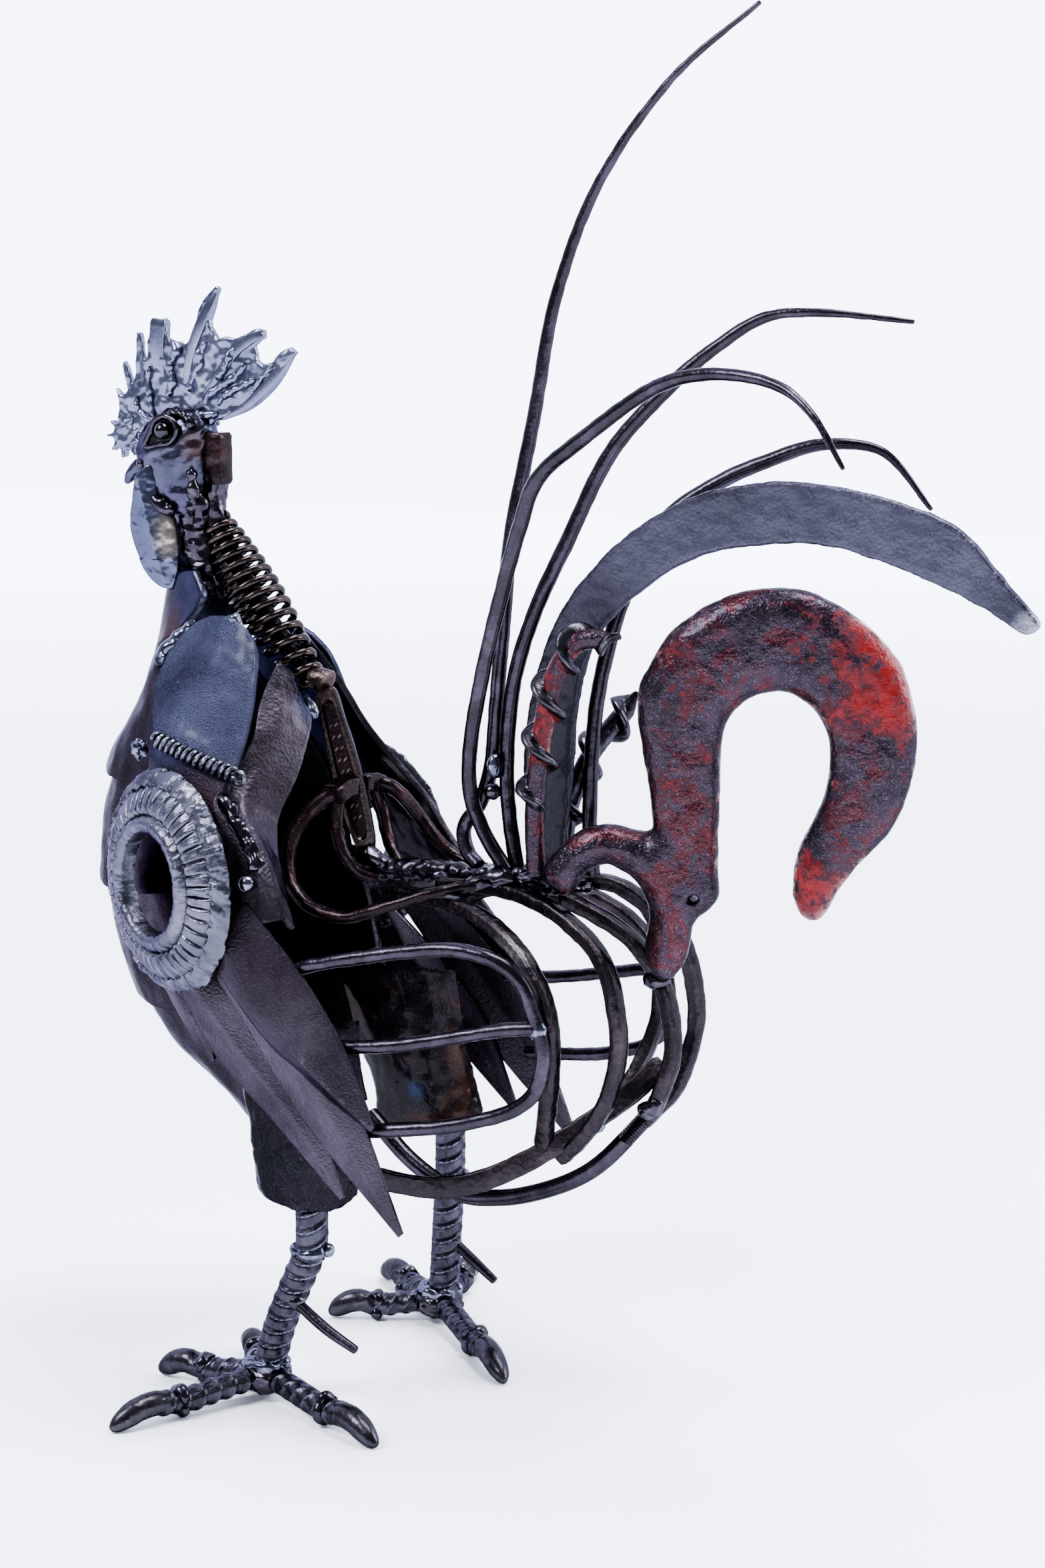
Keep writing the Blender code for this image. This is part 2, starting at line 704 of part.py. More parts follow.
def wing_forks():
    """The bent head of a three-tined fork: a loop and a middle tine."""
    bend = (
        (59, -68, 226), (63, -67, 213), (64, -67, 200), (60, -68, 186), (52, -70, 178),
        (40, -72, 172), (12, -77, 164), (-32, -85, 157),
    )
    # The right fork's upper tine lies a little higher than the left one's.
    tops = {
        LEFT: (
            (-74, -85, 232), (-53, -85, 240), (-12, -79, 249), (15, -75, 253), (32, -73, 252),
            (44, -71, 248), (54, -69, 239),
        ),
        RIGHT: (
            (-74, -85, 238), (-53, -85, 246), (-12, -79, 255), (15, -75, 259), (32, -73, 258),
            (44, -71, 253), (54, -69, 242),
        ),
    }
    middle = ((-46, -85, 198), (-11, -81, 203), (20, -75, 210), (45, -71, 216), (61, -68, 218))
    for side, top in tops.items():
        bow = rod(mirrored(top + bend, side), FORK_RADIUS, steps=1)
        tine = rod(mirrored(middle, side), FORK_TINE_RADIUS, steps=1)
        piece("wing_fork_" + SIDE_NAMES[side], fused([bow, tine]), "blackened")


def back_wrench():
    """A flat spanner from the nape to the back, with a sunk panel in each face."""
    top, foot = at(-103, -2, 363), at(-78, -2, 281)
    length = (top - foot).length
    half = WRENCH_WIDTH / 2
    outline = (
        (-0.55 * half, 0), (0.55 * half, 0), (0.9 * half, 0.2 * length), (half, 0.5 * length),
        (0.8 * half, 0.85 * length), (0.6 * half, length), (-0.6 * half, length),
        (-0.8 * half, 0.85 * length), (-half, 0.5 * length), (-0.9 * half, 0.2 * length),
    )
    up = (top - foot).normalized()
    face = Vector((0, -1, 0))
    frame = Matrix((up.cross(face), up, face)).transposed().to_4x4()
    frame.translation = foot
    body = plate(outline, WRENCH_THICKNESS, frame)
    centre = length / 2
    panel = [
        (x * WRENCH_PANEL_WIDTH_SHARE, centre + (y - centre) * WRENCH_PANEL_LENGTH_SHARE)
        for x, y in outline
    ]
    for way in (-1, 1):
        depth = Matrix.Translation((0, 0, way * (WRENCH_THICKNESS / 2)))
        sunk = plate(panel, 2 * WRENCH_PANEL_DEPTH, frame @ depth)
        boolean(body, sunk, "DIFFERENCE")
    piece("back_wrench", body, "rusty", 30)


def handles():
    """Bent rod bows, as on tin snips: an outer bow, a short inner arm and the block at their root."""
    left_bow = (
        (-86, -17, 312, 1.45), (-92, -22, 309, 1.45), (-98, -31, 300, 1.4), (-100, -40, 290, 1.4),
        (-97, -47, 277, 1.3), (-89, -52, 266, 1.25), (-75, -55, 259, 1.2), (-57, -55, 257, 1.1),
        (-38, -52, 263, 1.0), (-10, -42, 273, 0.9), (2, -26, 274, 0.85),
    )
    left_arm = (
        (-86, -17, 308, 1.4), (-86, -19, 294, 1.4), (-81, -19, 280, 1.3), (-76, -14, 271, 1.2),
        (-68, -8, 267, 1.1),
    )
    right_bow = (
        (-86, 17, 312, 1.4), (-78, 20, 311, 1.35), (-73, 28, 303, 1.3), (-69, 36, 292, 1.25),
        (-62, 40, 281, 1.2), (-50, 42, 272, 1.1), (-30, 40, 268, 1.0), (-8, 34, 270, 0.9), (2, 24, 273, 0.85),
    )
    right_arm = (
        (-86, 17, 311, 1.4), (-83, 19, 301, 1.35), (-79, 18, 288, 1.3), (-73, 14, 279, 1.2),
        (-64, 9, 272, 1.1),
    )
    shapes = {LEFT: (left_bow, left_arm), RIGHT: (right_bow, right_arm)}
    for side, (bow, arm) in shapes.items():
        root = ((-86, 4 * side, 314), (-86, 12 * side, 314), (-86, 22 * side, 311))
        block = swept(root, box_section(HANDLE_ROOT_WIDTH, HANDLE_ROOT_DEPTH, HANDLE_ROOT_CHAMFER), Vector((1, 0, 0)), steps=1)
        outer = rod(bow, HANDLE_RADIUS, steps=1)
        inner = rod(arm, HANDLE_ARM_RADIUS, steps=1)
        piece("handle_" + SIDE_NAMES[side], fused([block, outer, inner]), "rusty")


def back_bar():
    points = (
        (-78, 0, 271, 1.25), (-60, 0, 272, 1), (-22, 0, 273, 1), (0, 0, 273, 1.4),
        (22, 0, 273, 1.6), (40, 0, 271, 1.5),
    )
    piece("back_bar", rod(points, BACK_BAR_RADIUS, steps=2), "blackened")


def ribs():
    """Five flat tines bent round the back of the body."""
    outer = (
        (-62, -13, 262), (-40, -24, 265), (-8, -34, 266), (20, -44, 261), (41, -52, 251),
        (56, -57, 236), (63, -58, 216), (63, -57, 197), (58, -51, 176), (48, -38, 151),
    )
    inner = (
        (-30, -8, 269), (8, -13, 271), (38, -20, 267), (62, -26, 257), (79, -31, 242),
        (87, -34, 218), (87, -33, 198), (79, -30, 174), (64, -26, 153), (50, -22, 139),
    )
    middle = (
        (32, 0, 268), (56, 0, 261), (78, 0, 249), (94, 0, 230), (100, 0, 206), (99, 0, 189),
        (92, 0, 169), (86, 0, 158),
    )
    far = (
        (0, 10, 270), (30, 16, 273), (56, 21, 272), (73, 28, 260), (88, 34, 243),
        (93, 39, 216), (93, 38, 194), (87, 30, 168), (74, 18, 150),
    )
    routes = {
        "rib_left_outer": outer,
        "rib_left_inner": inner,
        "rib_middle": middle,
        "rib_right_inner": far,
        "rib_right_outer": mirrored(outer, RIGHT),
    }
    section = box_section(RIB_WIDTH, RIB_DEPTH)
    for name, points in routes.items():
        piece(name, swept(points, section, Vector((0, 1, 0)), steps=2), "blackened")


def belly():
    """A flat tine and a rod with a thread that close the cage from below."""
    tine = (
        (-100, -46, 136), (-70, -50, 127), (-39, -51, 122), (-8, -46, 121), (19, -38, 129),
        (46, -28, 145), (68, -16, 162), (82, -4, 175), (90, 10, 186),
    )
    section = box_section(TINE_DEPTH, TINE_WIDTH)
    piece("belly_tine", swept(tine, section, Vector((0, 1, 0)), steps=2), "blackened")
    rod_line = (
        (-96, 26, 128), (-66, 20, 108), (-33, 14, 97), (-4, 8, 101), (22, 2, 110), (48, -3, 123),
        (66, -4, 137),
    )
    thread = []
    start, end = Vector((66, -4, 137)), Vector((86, -1, 160))
    turns = round((end - start).length * UNIT / THREAD_PITCH)
    for i in range(1, 2 * turns + 1):
        x, y, z = start.lerp(end, i / (2 * turns))
        thread.append((x, y, z, 1 - THREAD_DEPTH / BELLY_ROD_RADIUS * (i % 2)))
    plain = [p + (1,) for p in smooth_path(rod_line, 2)]
    piece("belly_rod", rod(plain + thread, BELLY_ROD_RADIUS, steps=1), "blackened")


def thighs():
    """Bent sheets wrapped round the top of each leg, the right one from the inside."""
    left = (
        ((-101, -54, 116), (-101, -70, 112), (-78, -78, 108), (-56, -73, 109), (-50, -58, 114)),
        ((-104, -52, 140), (-103, -71, 138), (-78, -79, 136), (-54, -74, 138), (-48, -58, 142)),
        ((-126, -46, 204), (-116, -68, 204), (-84, -76, 206), (-60, -70, 206), (-50, -54, 206)),
    )
    right = (
        ((-117, 74, 112), (-111, 62, 109), (-83, 55, 110), (-59, 60, 118), (-53, 72, 124)),
        ((-124, 76, 140), (-116, 62, 140), (-85, 54, 142), (-65, 60, 146), (-60, 72, 148)),
        ((-150, 62, 206), (-138, 50, 208), (-104, 46, 208), (-76, 52, 206), (-66, 64, 204)),
    )
    for side, rows, finish in ((LEFT, left, "blackened"), (RIGHT, right, "rusty")):
        piece("thigh_" + SIDE_NAMES[side], sheet(rows, THIGH_SHEET), finish, 30)


def rebar(points, radius):
    """Round bar with raised ribs along its length."""
    lengths = [(at(*b) - at(*a)).length for a, b in zip(points, points[1:])]
    count = 2 * max(2, round(sum(lengths) / REBAR_RIB_PITCH))
    rows = []
    for i in range(count + 1):
        distance = i / count * sum(lengths)
        span = 0
        while span < len(lengths) - 1 and distance > lengths[span]:
            distance -= lengths[span]
            span += 1
        share = distance / lengths[span]
        x, y, z = (p + (q - p) * share for p, q in zip(points[span], points[span + 1]))
        rows.append((x, y, z, 1 + REBAR_RIB_HEIGHT / radius * (i % 2)))
    return rod(rows, radius, steps=1)


def legs():
    """Two lengths of ribbed bar a side, bent at a welded knee, with a nail for a spur."""
    shapes = {
        LEFT: (
            ((-100, -69, 9), (-93, -69, 34), (-86, -69, 52), (-71, -69, 84)),
            ((-71, -69, 82), (-70, -69, 100), (-73, -67, 160)),
            ((-80, -71, 56), (-41, -73, 37)),
        ),
        RIGHT: (
            ((-79, 69, 9), (-76, 69, 24), (-74, 69, 53), (-72, 69, 84)),
            ((-72, 69, 82), (-71, 68, 110), (-72, 66, 136)),
            ((-72, 70, 48), (-44, 71, 28)),
        ),
    }
    for side, (lower, upper, spur) in shapes.items():
        shank = rebar(lower, LEG_RADIUS)
        top = rebar(upper, LEG_RADIUS)
        knee = ball(at(*lower[-1]), KNEE_RADIUS, (1, 1, 0.7))
        nail = rod(spur, SPUR_RADIUS, steps=1)
        piece("leg_" + SIDE_NAMES[side], fused([shank, top, knee, nail]), "bare")


def foot_bar(hub, reach):
    """One toe of ribbed bar with a ground claw, from the hub outwards."""
    # Share of the reach, height of the middle of the bar, scale of its radius
    rises = (
        (0.00, 12.5, 1.0), (0.30, 10.0, 1.0), (0.50, 8.2, 1.0), (0.56, 8.2, 1.22),
        (0.62, 8.6, 1.0), (0.72, 10.2, 1.04), (0.82, 9.2, 1.02), (0.90, 6.2, 0.92),
        (0.96, 3.2, 0.68), (1.00, 1.0, 0.30),
    )
    points = [
        (hub[0] + reach[0] * share, hub[1] + reach[1] * share, z, scale)
        for share, z, scale in rises
    ]
    return rod(points, TOE_RADIUS, steps=1)


def feet():
    """Four toes welded to a lump at the foot of each leg, ground flat where they stand."""
    shapes = {
        LEFT: ((-100, -69), ((-39, -81), (-66, -4), (88, -31), (-47, 51))),
        RIGHT: ((-79, 69), ((-65, 44), (-56, -27), (80, -65), (-22, 74))),
    }
    for side, (hub, toes) in shapes.items():
        lump = ball(at(*hub, 11), HUB_RADIUS, (1.15, 1.15, 0.85))
        whole = fused([lump] + [foot_bar(hub, toe) for toe in toes])
        bm = bmesh.new()
        bmesh.ops.create_cube(bm, size=HEIGHT)
        ground = bpy.data.meshes.new("ground")
        bm.to_mesh(ground)
        bm.free()
        centre = Vector((*at(*hub, 0).xy, -HEIGHT / 2))
        floor = helper("ground", ground, Matrix.Translation(centre))
        boolean(whole, floor, "DIFFERENCE")
        piece("foot_" + SIDE_NAMES[side], whole, "bare")


def tail_rods():
    """Four tapered rods bent like feathers."""
    routes = {
        "tail_rod_tall": (
            (-9, -4, 279), (-17, -2, 286), (-20, 0, 298), (-11, 2, 312), (-6, 4, 332),
            (-4, 5, 360), (0, 5, 400), (4, 7, 449), (14, 12, 506), (24, 16, 564), (45, 21, 619),
            (82, 25, 667), (126, 30, 701),
        ),
        "tail_rod_upper": (
            (11, 0, 279), (6, 1, 306), (4, 2, 335), (8, 3, 376), (20, 4, 412), (34, 9, 444),
            (55, 16, 489), (84, 23, 522), (108, 28, 542), (130, 33, 555), (158, 38, 557),
            (201, 45, 553),
        ),
        "tail_rod_near": (
            (9, -7, 279), (-3, -8, 297), (-11, -9, 318), (-10, -10, 344), (-1, -12, 383),
            (10, -13, 421), (22, -17, 452), (36, -23, 478), (65, -29, 499), (105, -35, 523),
            (138, -41, 530), (172, -47, 526), (194, -54, 513), (212, -60, 490),
        ),
        "tail_rod_far": (
            (45, 18, 274), (43, 18, 310), (45, 22, 366), (56, 28, 416), (72, 35, 452),
            (98, 43, 473), (128, 50, 487), (152, 56, 494), (180, 63, 490), (202, 70, 463),
        ),
    }
    loss = 1 - TAIL_ROD_TIP / TAIL_ROD_RADIUS
    for name, points in routes.items():
        route = []
        for i, point in enumerate(points):
            share = i / (len(points) - 1)
            late = max(0.0, share - TAIL_ROD_TAPER_FROM) / (1 - TAIL_ROD_TAPER_FROM)
            route.append(point + (1 - loss * late ** 1.6,))
        piece(name, rod(route, TAIL_ROD_RADIUS, steps=1), "blackened")


def sickle():
    outline = (
        (12, 312), (11, 335), (14, 362), (22, 390), (33, 412), (48, 431), (70, 451), (100, 468),
        (126, 476), (160, 479), (200, 474), (236, 463), (252, 450), (268, 433), (281, 421),
        (281, 416), (272, 414), (256, 423), (230, 434), (200, 444), (170, 450), (140, 448),
        (110, 442), (84, 428), (64, 412), (50, 393), (42, 366), (39, 330), (35, 296), (32, 275),
        (18, 275), (14, 292),
    )
    blade = plate(median_outline(outline), SICKLE_THICKNESS, median_frame(SICKLE_SIDEWAYS))
    piece("sickle", blade, "blackened", 0)


def auger(points):
    """A wood auger: a plain shank, then a round core with one flight wound about it."""
    length = sum((at(*b) - at(*a)).length for a, b in zip(points, points[1:]))
    count = round(length / AUGER_PITCH * AUGER_SIDES)
    line = [at(*p) for p in smooth_path(points, 24)]
    rings = []
    for i in range(count + 1):
        share = i / count
        place = round(share * (len(line) - 1))
        ahead = line[min(place + 1, len(line) - 1)] - line[max(place - 1, 0)]
        ahead.normalize()
        across = Vector((0, 1, 0)).cross(ahead).normalized()
        other = ahead.cross(across)
        late = max(0.0, share - AUGER_TAPER_FROM) / (1 - AUGER_TAPER_FROM)
        taper = 1 - (1 - AUGER_TIP_SHARE) * late
        cut = 1.0 if share > AUGER_SHANK_SHARE else 0.0
        ring = []
        for k in range(AUGER_SIDES):
            flight = max(0.0, math.cos(2 * math.pi * (k - i) / AUGER_SIDES)) ** 1.5
            reach = (AUGER_CORE + (AUGER_RADIUS - AUGER_CORE) * flight * cut) * taper
            angle = 2 * math.pi * k / AUGER_SIDES
            ring.append(line[place] + (across * math.cos(angle) + other * math.sin(angle)) * reach)
        rings.append(ring)
    return loft(rings)


def augers():
    near = (
        (31.6, -16, 281), (30.5, -16, 303), (31, -16, 322), (33, -16, 341), (37, -16, 364),
        (43, -16, 384), (55, -16, 399), (78, -16, 403),
    )
    far = (
        (25, 20, 274), (29, 20, 305), (33, 22, 320), (38, 28, 336), (43, 34, 346), (49, 40, 355),
        (55, 46, 367),
    )
    piece("auger_left", auger(near), "red_paint")
    piece("auger_right", auger(far), "blackened")


def hook():
    """A cast hook with half of a cut eye at its root and a small pin hole."""
    outline = (
        (-73, 281), (-70, 291), (-62, 300), (-52, 307), (-40, 310), (-28, 308), (-18, 309),
        (-20, 329), (-24, 352), (-26, 373), (-20, 390), (-8, 407), (10, 420), (30, 427), (49, 428),
        (66, 423), (82, 413), (96, 400), (105, 384), (109, 365), (109, 346), (105, 327), (96, 309),
        (83, 296), (75, 284), (69, 273), (63, 267), (55, 270), (51, 281), (53, 299), (60, 315),
        (66, 331), (68, 347), (66, 361), (58, 372), (46, 378), (33, 376), (22, 368), (16, 355),
        (15, 323), (14, 295), (15, 276), (10, 269), (3, 262), (1, 250), (-4, 238), (-12, 232),
        (-20, 239), (-21, 253), (-19, 264), (-21, 275), (-29, 285), (-40, 290), (-50, 286),
        (-55, 278), (-61, 272),
    )
    loop = [(x * UNIT, z * UNIT) for x, z in outline]
    pin = circle(HOOK_PIN_RADIUS, 8, (4 * UNIT, 276 * UNIT))
    frame = standing_frame(at(108, 0, 0), HOOK_YAW)
    shape = plate(loop, HOOK_THICKNESS, frame, HOOK_ROUNDING)
    hole = plate(pin, HOOK_THICKNESS * 2, frame)
    boolean(shape, hole, "DIFFERENCE")
    piece("hook", shape, "red_paint", 60)


def world_copy(obj, swell=0.0):
    """The object's faces in the world, swollen evenly by this much."""
    bm = bmesh.new()
    bm.from_mesh(obj.data)
    bm.transform(obj.matrix_world)
    bm.normal_update()
    moves = [v.normal * swell * min(v.calc_shell_factor(), 2.0) for v in bm.verts]
    for vertex, move in zip(bm.verts, moves):
        vertex.co += move
    return bm


def keep_main_body(obj):
    """Drops what a cut has parted from the main body of a piece."""
    bm = bmesh.new()
    bm.from_mesh(obj.data)
    bodies = []
    left = set(bm.faces)
    while left:
        body = {left.pop()}
        edge = list(body)
        while edge:
            face = edge.pop()
            for link in face.edges:
                for other in link.link_faces:
                    if other in left:
                        left.discard(other)
                        body.add(other)
                        edge.append(other)
        bodies.append(body)
    if len(bodies) > 1:
        main = max(bodies, key=lambda body: sum(face.calc_area() for face in body))
        spare = [face for face in bm.faces if face not in main]
        bmesh.ops.delete(bm, geom=spare, context="FACES")
        bm.to_mesh(obj.data)
    bm.free()


def fit_pieces():
    """Cuts each piece back from the earlier ones that it meets, so that a weld gap is left."""
    bpy.context.view_layer.update()
    swollen = {}
    trees = {}
    for obj in PIECES:
        bm = world_copy(obj, WELD_GAP)
        trees[obj.name] = BVHTree.FromBMesh(bm)
        mesh = bpy.data.meshes.new(obj.name + "_clearance")
        bm.to_mesh(mesh)
        bm.free()
        swollen[obj.name] = mesh
    cut = []
    for i, obj in enumerate(PIECES):
        for earlier in PIECES[:i]:
            if trees[obj.name].overlap(trees[earlier.name]):
                clearance = bpy.data.objects.get(earlier.name + "_clearance")
                if clearance is None:
                    clearance = helper(earlier.name + "_clearance", swollen[earlier.name])
                cope = obj.modifiers.new("clear_of_" + earlier.name, "BOOLEAN")
                cope.operation = "DIFFERENCE"
                cope.object = clearance
                if obj not in cut:
                    cut.append(obj)
    for obj in cut:
        materials = list(obj.data.materials)
        settle(obj)
        keep_main_body(obj)
        obj.data.materials.clear()
        for material in materials:
            obj.data.materials.append(material)


skull()
comb()
beak()
eyes()
nape_bar()
neck()
back_wrench()
back_bar()
shoulder_discs()
hook()
sickle()
tail_rods()
augers()
ribs()
handles()
legs()
feet()
wattles()
wing_forks()
belly()
shoulder_plates()
neck_plates()
breast()
thighs()
wing_blades()
fit_pieces()
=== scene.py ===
"""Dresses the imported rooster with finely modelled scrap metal, in the frame of its solids."""

import math

import bmesh
import bpy
from mathutils import Matrix, Vector, kdtree, noise


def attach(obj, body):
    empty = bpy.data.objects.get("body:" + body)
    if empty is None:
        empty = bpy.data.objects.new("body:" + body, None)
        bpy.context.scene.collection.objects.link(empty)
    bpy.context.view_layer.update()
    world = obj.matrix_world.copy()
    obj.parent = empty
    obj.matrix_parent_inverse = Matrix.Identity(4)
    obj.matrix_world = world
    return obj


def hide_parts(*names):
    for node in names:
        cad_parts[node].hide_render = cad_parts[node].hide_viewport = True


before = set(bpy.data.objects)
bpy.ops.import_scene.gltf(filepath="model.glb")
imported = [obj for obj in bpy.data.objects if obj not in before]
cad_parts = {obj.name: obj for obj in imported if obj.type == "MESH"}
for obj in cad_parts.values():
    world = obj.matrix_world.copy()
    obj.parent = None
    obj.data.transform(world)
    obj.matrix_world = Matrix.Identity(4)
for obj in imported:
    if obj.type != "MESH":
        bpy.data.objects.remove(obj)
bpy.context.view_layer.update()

TURN = 2 * math.pi
LEFT, RIGHT = -1, 1
NAMES = {LEFT: "left", RIGHT: "right"}
# The stray of each weld run comes from seeded noise, so the file gives the same bird each time.
noise.seed_set(1)
# The middle of the bird's box on the ground, in the pose millimetres that its shapes are drawn in.
MIDDLE_X, MIDDLE_Y = 17.5, -3.5
# Sizes in metres that more than one piece has.
SHEET = 0.0030
LEG_BAR = 0.0080
TOE_BAR = 0.0062
FORK_WIRE = 0.0037


# Points and paths
def at(x, y, z):
    """A pose point in metres of the part's own frame."""
    return Vector((x - MIDDLE_X, y - MIDDLE_Y, z)) / 1000


def posed(place):
    """The pose point of a place in metres."""
    return place.x * 1000 + MIDDLE_X, place.y * 1000 + MIDDLE_Y, place.z * 1000


def circle(x, y, radius, count, extra=0):
    """Points evenly round a circle, with some of the first ones again at the end."""
    return [(x + radius * math.cos(TURN * k / count), y + radius * math.sin(TURN * k / count))
            for k in range(count + extra)]


def mirrored(points, side):
    """Points drawn for the left side, on either side."""
    return [(p[0], p[1] * -side) + tuple(p[2:]) for p in points]


def moved(points, shift):
    return [tuple(a + b for a, b in zip(p, shift)) for p in points]


def smooth_path(points, steps, closed=False):
    """A smooth curve through every point."""
    rows = [tuple(map(float, p)) for p in points]
    if closed:
        rows = [rows[-1]] + rows + rows[:2]
    else:
        first = tuple(2 * a - b for a, b in zip(rows[0], rows[1]))
        last = tuple(2 * a - b for a, b in zip(rows[-1], rows[-2]))
        rows = [first] + rows + [last]
    path = []
    for i in range(1, len(rows) - 2):
        p0, p1, p2, p3 = rows[i - 1 : i + 3]
        for step in range(steps):
            t = step / steps
            path.append(tuple(
                0.5 * (2 * b + (c - a) * t + (2 * a - 5 * b + 4 * c - d) * t * t
                       + (3 * b - a - 3 * c + d) * t ** 3)
                for a, b, c, d in zip(p0, p1, p2, p3)
            ))
    if not closed:
        path.append(rows[-2])
    return path


def straight_path(points, steps):
    """Straight lines between points, which keeps a fold crisp."""
    path = []
    for a, b in zip(points, points[1:]):
        path += [tuple(p + (q - p) * i / steps for p, q in zip(a, b)) for i in range(steps)]
    return path + [tuple(points[-1])]


def sampled(points, step):
    """Evenly spaced places, their distance along the path and their scale; a blunt end is kept."""
    rows = [tuple(p) if len(p) == 4 else tuple(p) + (1,) for p in points]
    rows = smooth_path(rows, 8)
    places = [at(*row[:3]) for row in rows]
    run = [0.0]
    for a, b in zip(places, places[1:]):
        run.append(run[-1] + (b - a).length)
    total = run[-1]
    count = max(3, round(total / step))
    marks = [total * i / count for i in range(count + 1)]
    found = []
    span = 0
    for mark in marks:
        while span < len(run) - 2 and run[span + 1] < mark:
            span += 1
        share = (mark - run[span]) / max(run[span + 1] - run[span], 1e-9)
        found.append((
            places[span].lerp(places[span + 1], share), mark,
            rows[span][3] + (rows[span + 1][3] - rows[span][3]) * share,
        ))
    return found, total


def carried(places, side=None):
    """The two directions across a path at each place, carried along without a twist."""
    found = []
    across = side
    for i in range(len(places)):
        ahead = (places[min(i + 1, len(places) - 1)] - places[max(i - 1, 0)]).normalized()
        if across is None:
            across = ahead.orthogonal()
        hint = side if side is not None else across
        across = (hint - ahead * hint.dot(ahead)).normalized()
        found.append((across, ahead.cross(across)))
    return found


# Meshes
def link(name, data):
    obj = bpy.data.objects.new(name, data)
    bpy.context.scene.collection.objects.link(obj)
    return obj


def skin(rings, closed=False):
    """A skin over rings of points, with caps where the path is open."""
    count, rows = len(rings[0]), len(rings)
    faces = []
    for r in range(rows if closed else rows - 1):
        a, b = r * count, (r + 1) % rows * count
        faces += [(a + i, a + (i + 1) % count, b + (i + 1) % count, b + i) for i in range(count)]
    if not closed:
        faces.append(tuple(range(count))[::-1])
        faces.append(tuple(range((rows - 1) * count, rows * count)))
    mesh = bpy.data.meshes.new("skin")
    mesh.from_pydata([p for ring in rings for p in ring], [], faces)
    return link("skin", mesh)


def settle(obj):
    """Turns modifiers or a curve into plain mesh, standing in the world."""
    bpy.context.view_layer.update()
    graph = bpy.context.evaluated_depsgraph_get()
    mesh = bpy.data.meshes.new_from_object(obj.evaluated_get(graph))
    mesh.transform(obj.matrix_world)
    bpy.data.objects.remove(obj)
    return link("settled", mesh)


def turned_out(obj):
    """Merges doubled points and turns every face outwards."""
    bm = bmesh.new()
    bm.from_mesh(obj.data)
    bmesh.ops.remove_doubles(bm, verts=bm.verts, dist=1e-6)
    bmesh.ops.recalc_face_normals(bm, faces=bm.faces)
    bm.to_mesh(obj.data)
    bm.free()
    return obj


def tube(points, radius, sides=14, step=0.002, shape=None, blunt=0.35):
    """A round bar through pose points; shape(distance, angle, whole length) adds to its radius."""
    found, total = sampled(points, step)
    lines = carried([p for p, _, _ in found])
    rings = []
    for (place, run, scale), (across, above) in zip(found, lines):
        ring = []
        for k in range(sides):
            angle = TURN * k / sides
            reach = radius * scale + (shape(run, angle, total) if shape else 0)
            ring.append(place + (across * math.cos(angle) + above * math.sin(angle)) * reach)
        rings.append(ring)
    ends = []
    for last, inner in ((0, 1), (-1, -2)):
        middle = found[last][0]
        inset = [middle.lerp(p, 1 - blunt) for p in rings[last]]
        pulled = [p + (found[inner][0] - middle) * 0.3 for p in rings[last]]
        ends.append((inset, pulled))
    (first, second), (last, before) = ends
    return skin([first, second] + rings[1:-1] + [before, last])


def hoop(points, radius, sides=10, steps=6):
    """A closed ring of round wire through pose points."""
    places = [at(*p) for p in smooth_path(points, steps, closed=True)]
    count = len(places)
    rings = []
    level = (places[1] - places[0]).cross(places[count // 3] - places[0]).normalized()
    for i, place in enumerate(places):
        ahead = (places[(i + 1) % count] - places[i - 1]).normalized()
        across = (level - ahead * level.dot(ahead)).normalized()
        above = ahead.cross(across)
        rings.append([
            place + (across * math.cos(TURN * k / sides) + above * math.sin(TURN * k / sides)) * radius
            for k in range(sides)
        ])
    return skin(rings, closed=True)


def rounded_box(width, depth, corner, steps=3):
    """A flat bar's section with rounded corners, turning the way that faces outwards."""
    section = []
    for turn, (sx, sy) in enumerate(((1, 1), (-1, 1), (-1, -1), (1, -1))):
        for i in range(steps + 1):
            angle = TURN * (turn + i / steps) / 4
            section.append((
                sx * (width / 2 - corner) + corner * math.cos(angle),
                sy * (depth / 2 - corner) + corner * math.sin(angle),
            ))
    return section


def bar(points, section, side):
    """Sweeps a section along pose points; side is the way its first axis faces."""
    found, _ = sampled(points, 0.002)
    lines = carried([p for p, _, _ in found], Vector(side))
    rings = []
    for (place, _, scale), (across, above) in zip(found, lines):
        rings.append([place + (across * a + above * b) * scale for a, b in section])
    inset = [[found[i][0].lerp(p, 0.85) for p in rings[i]] for i in (0, -1)]
    return skin([inset[0]] + rings[1:-1] + [inset[1]])


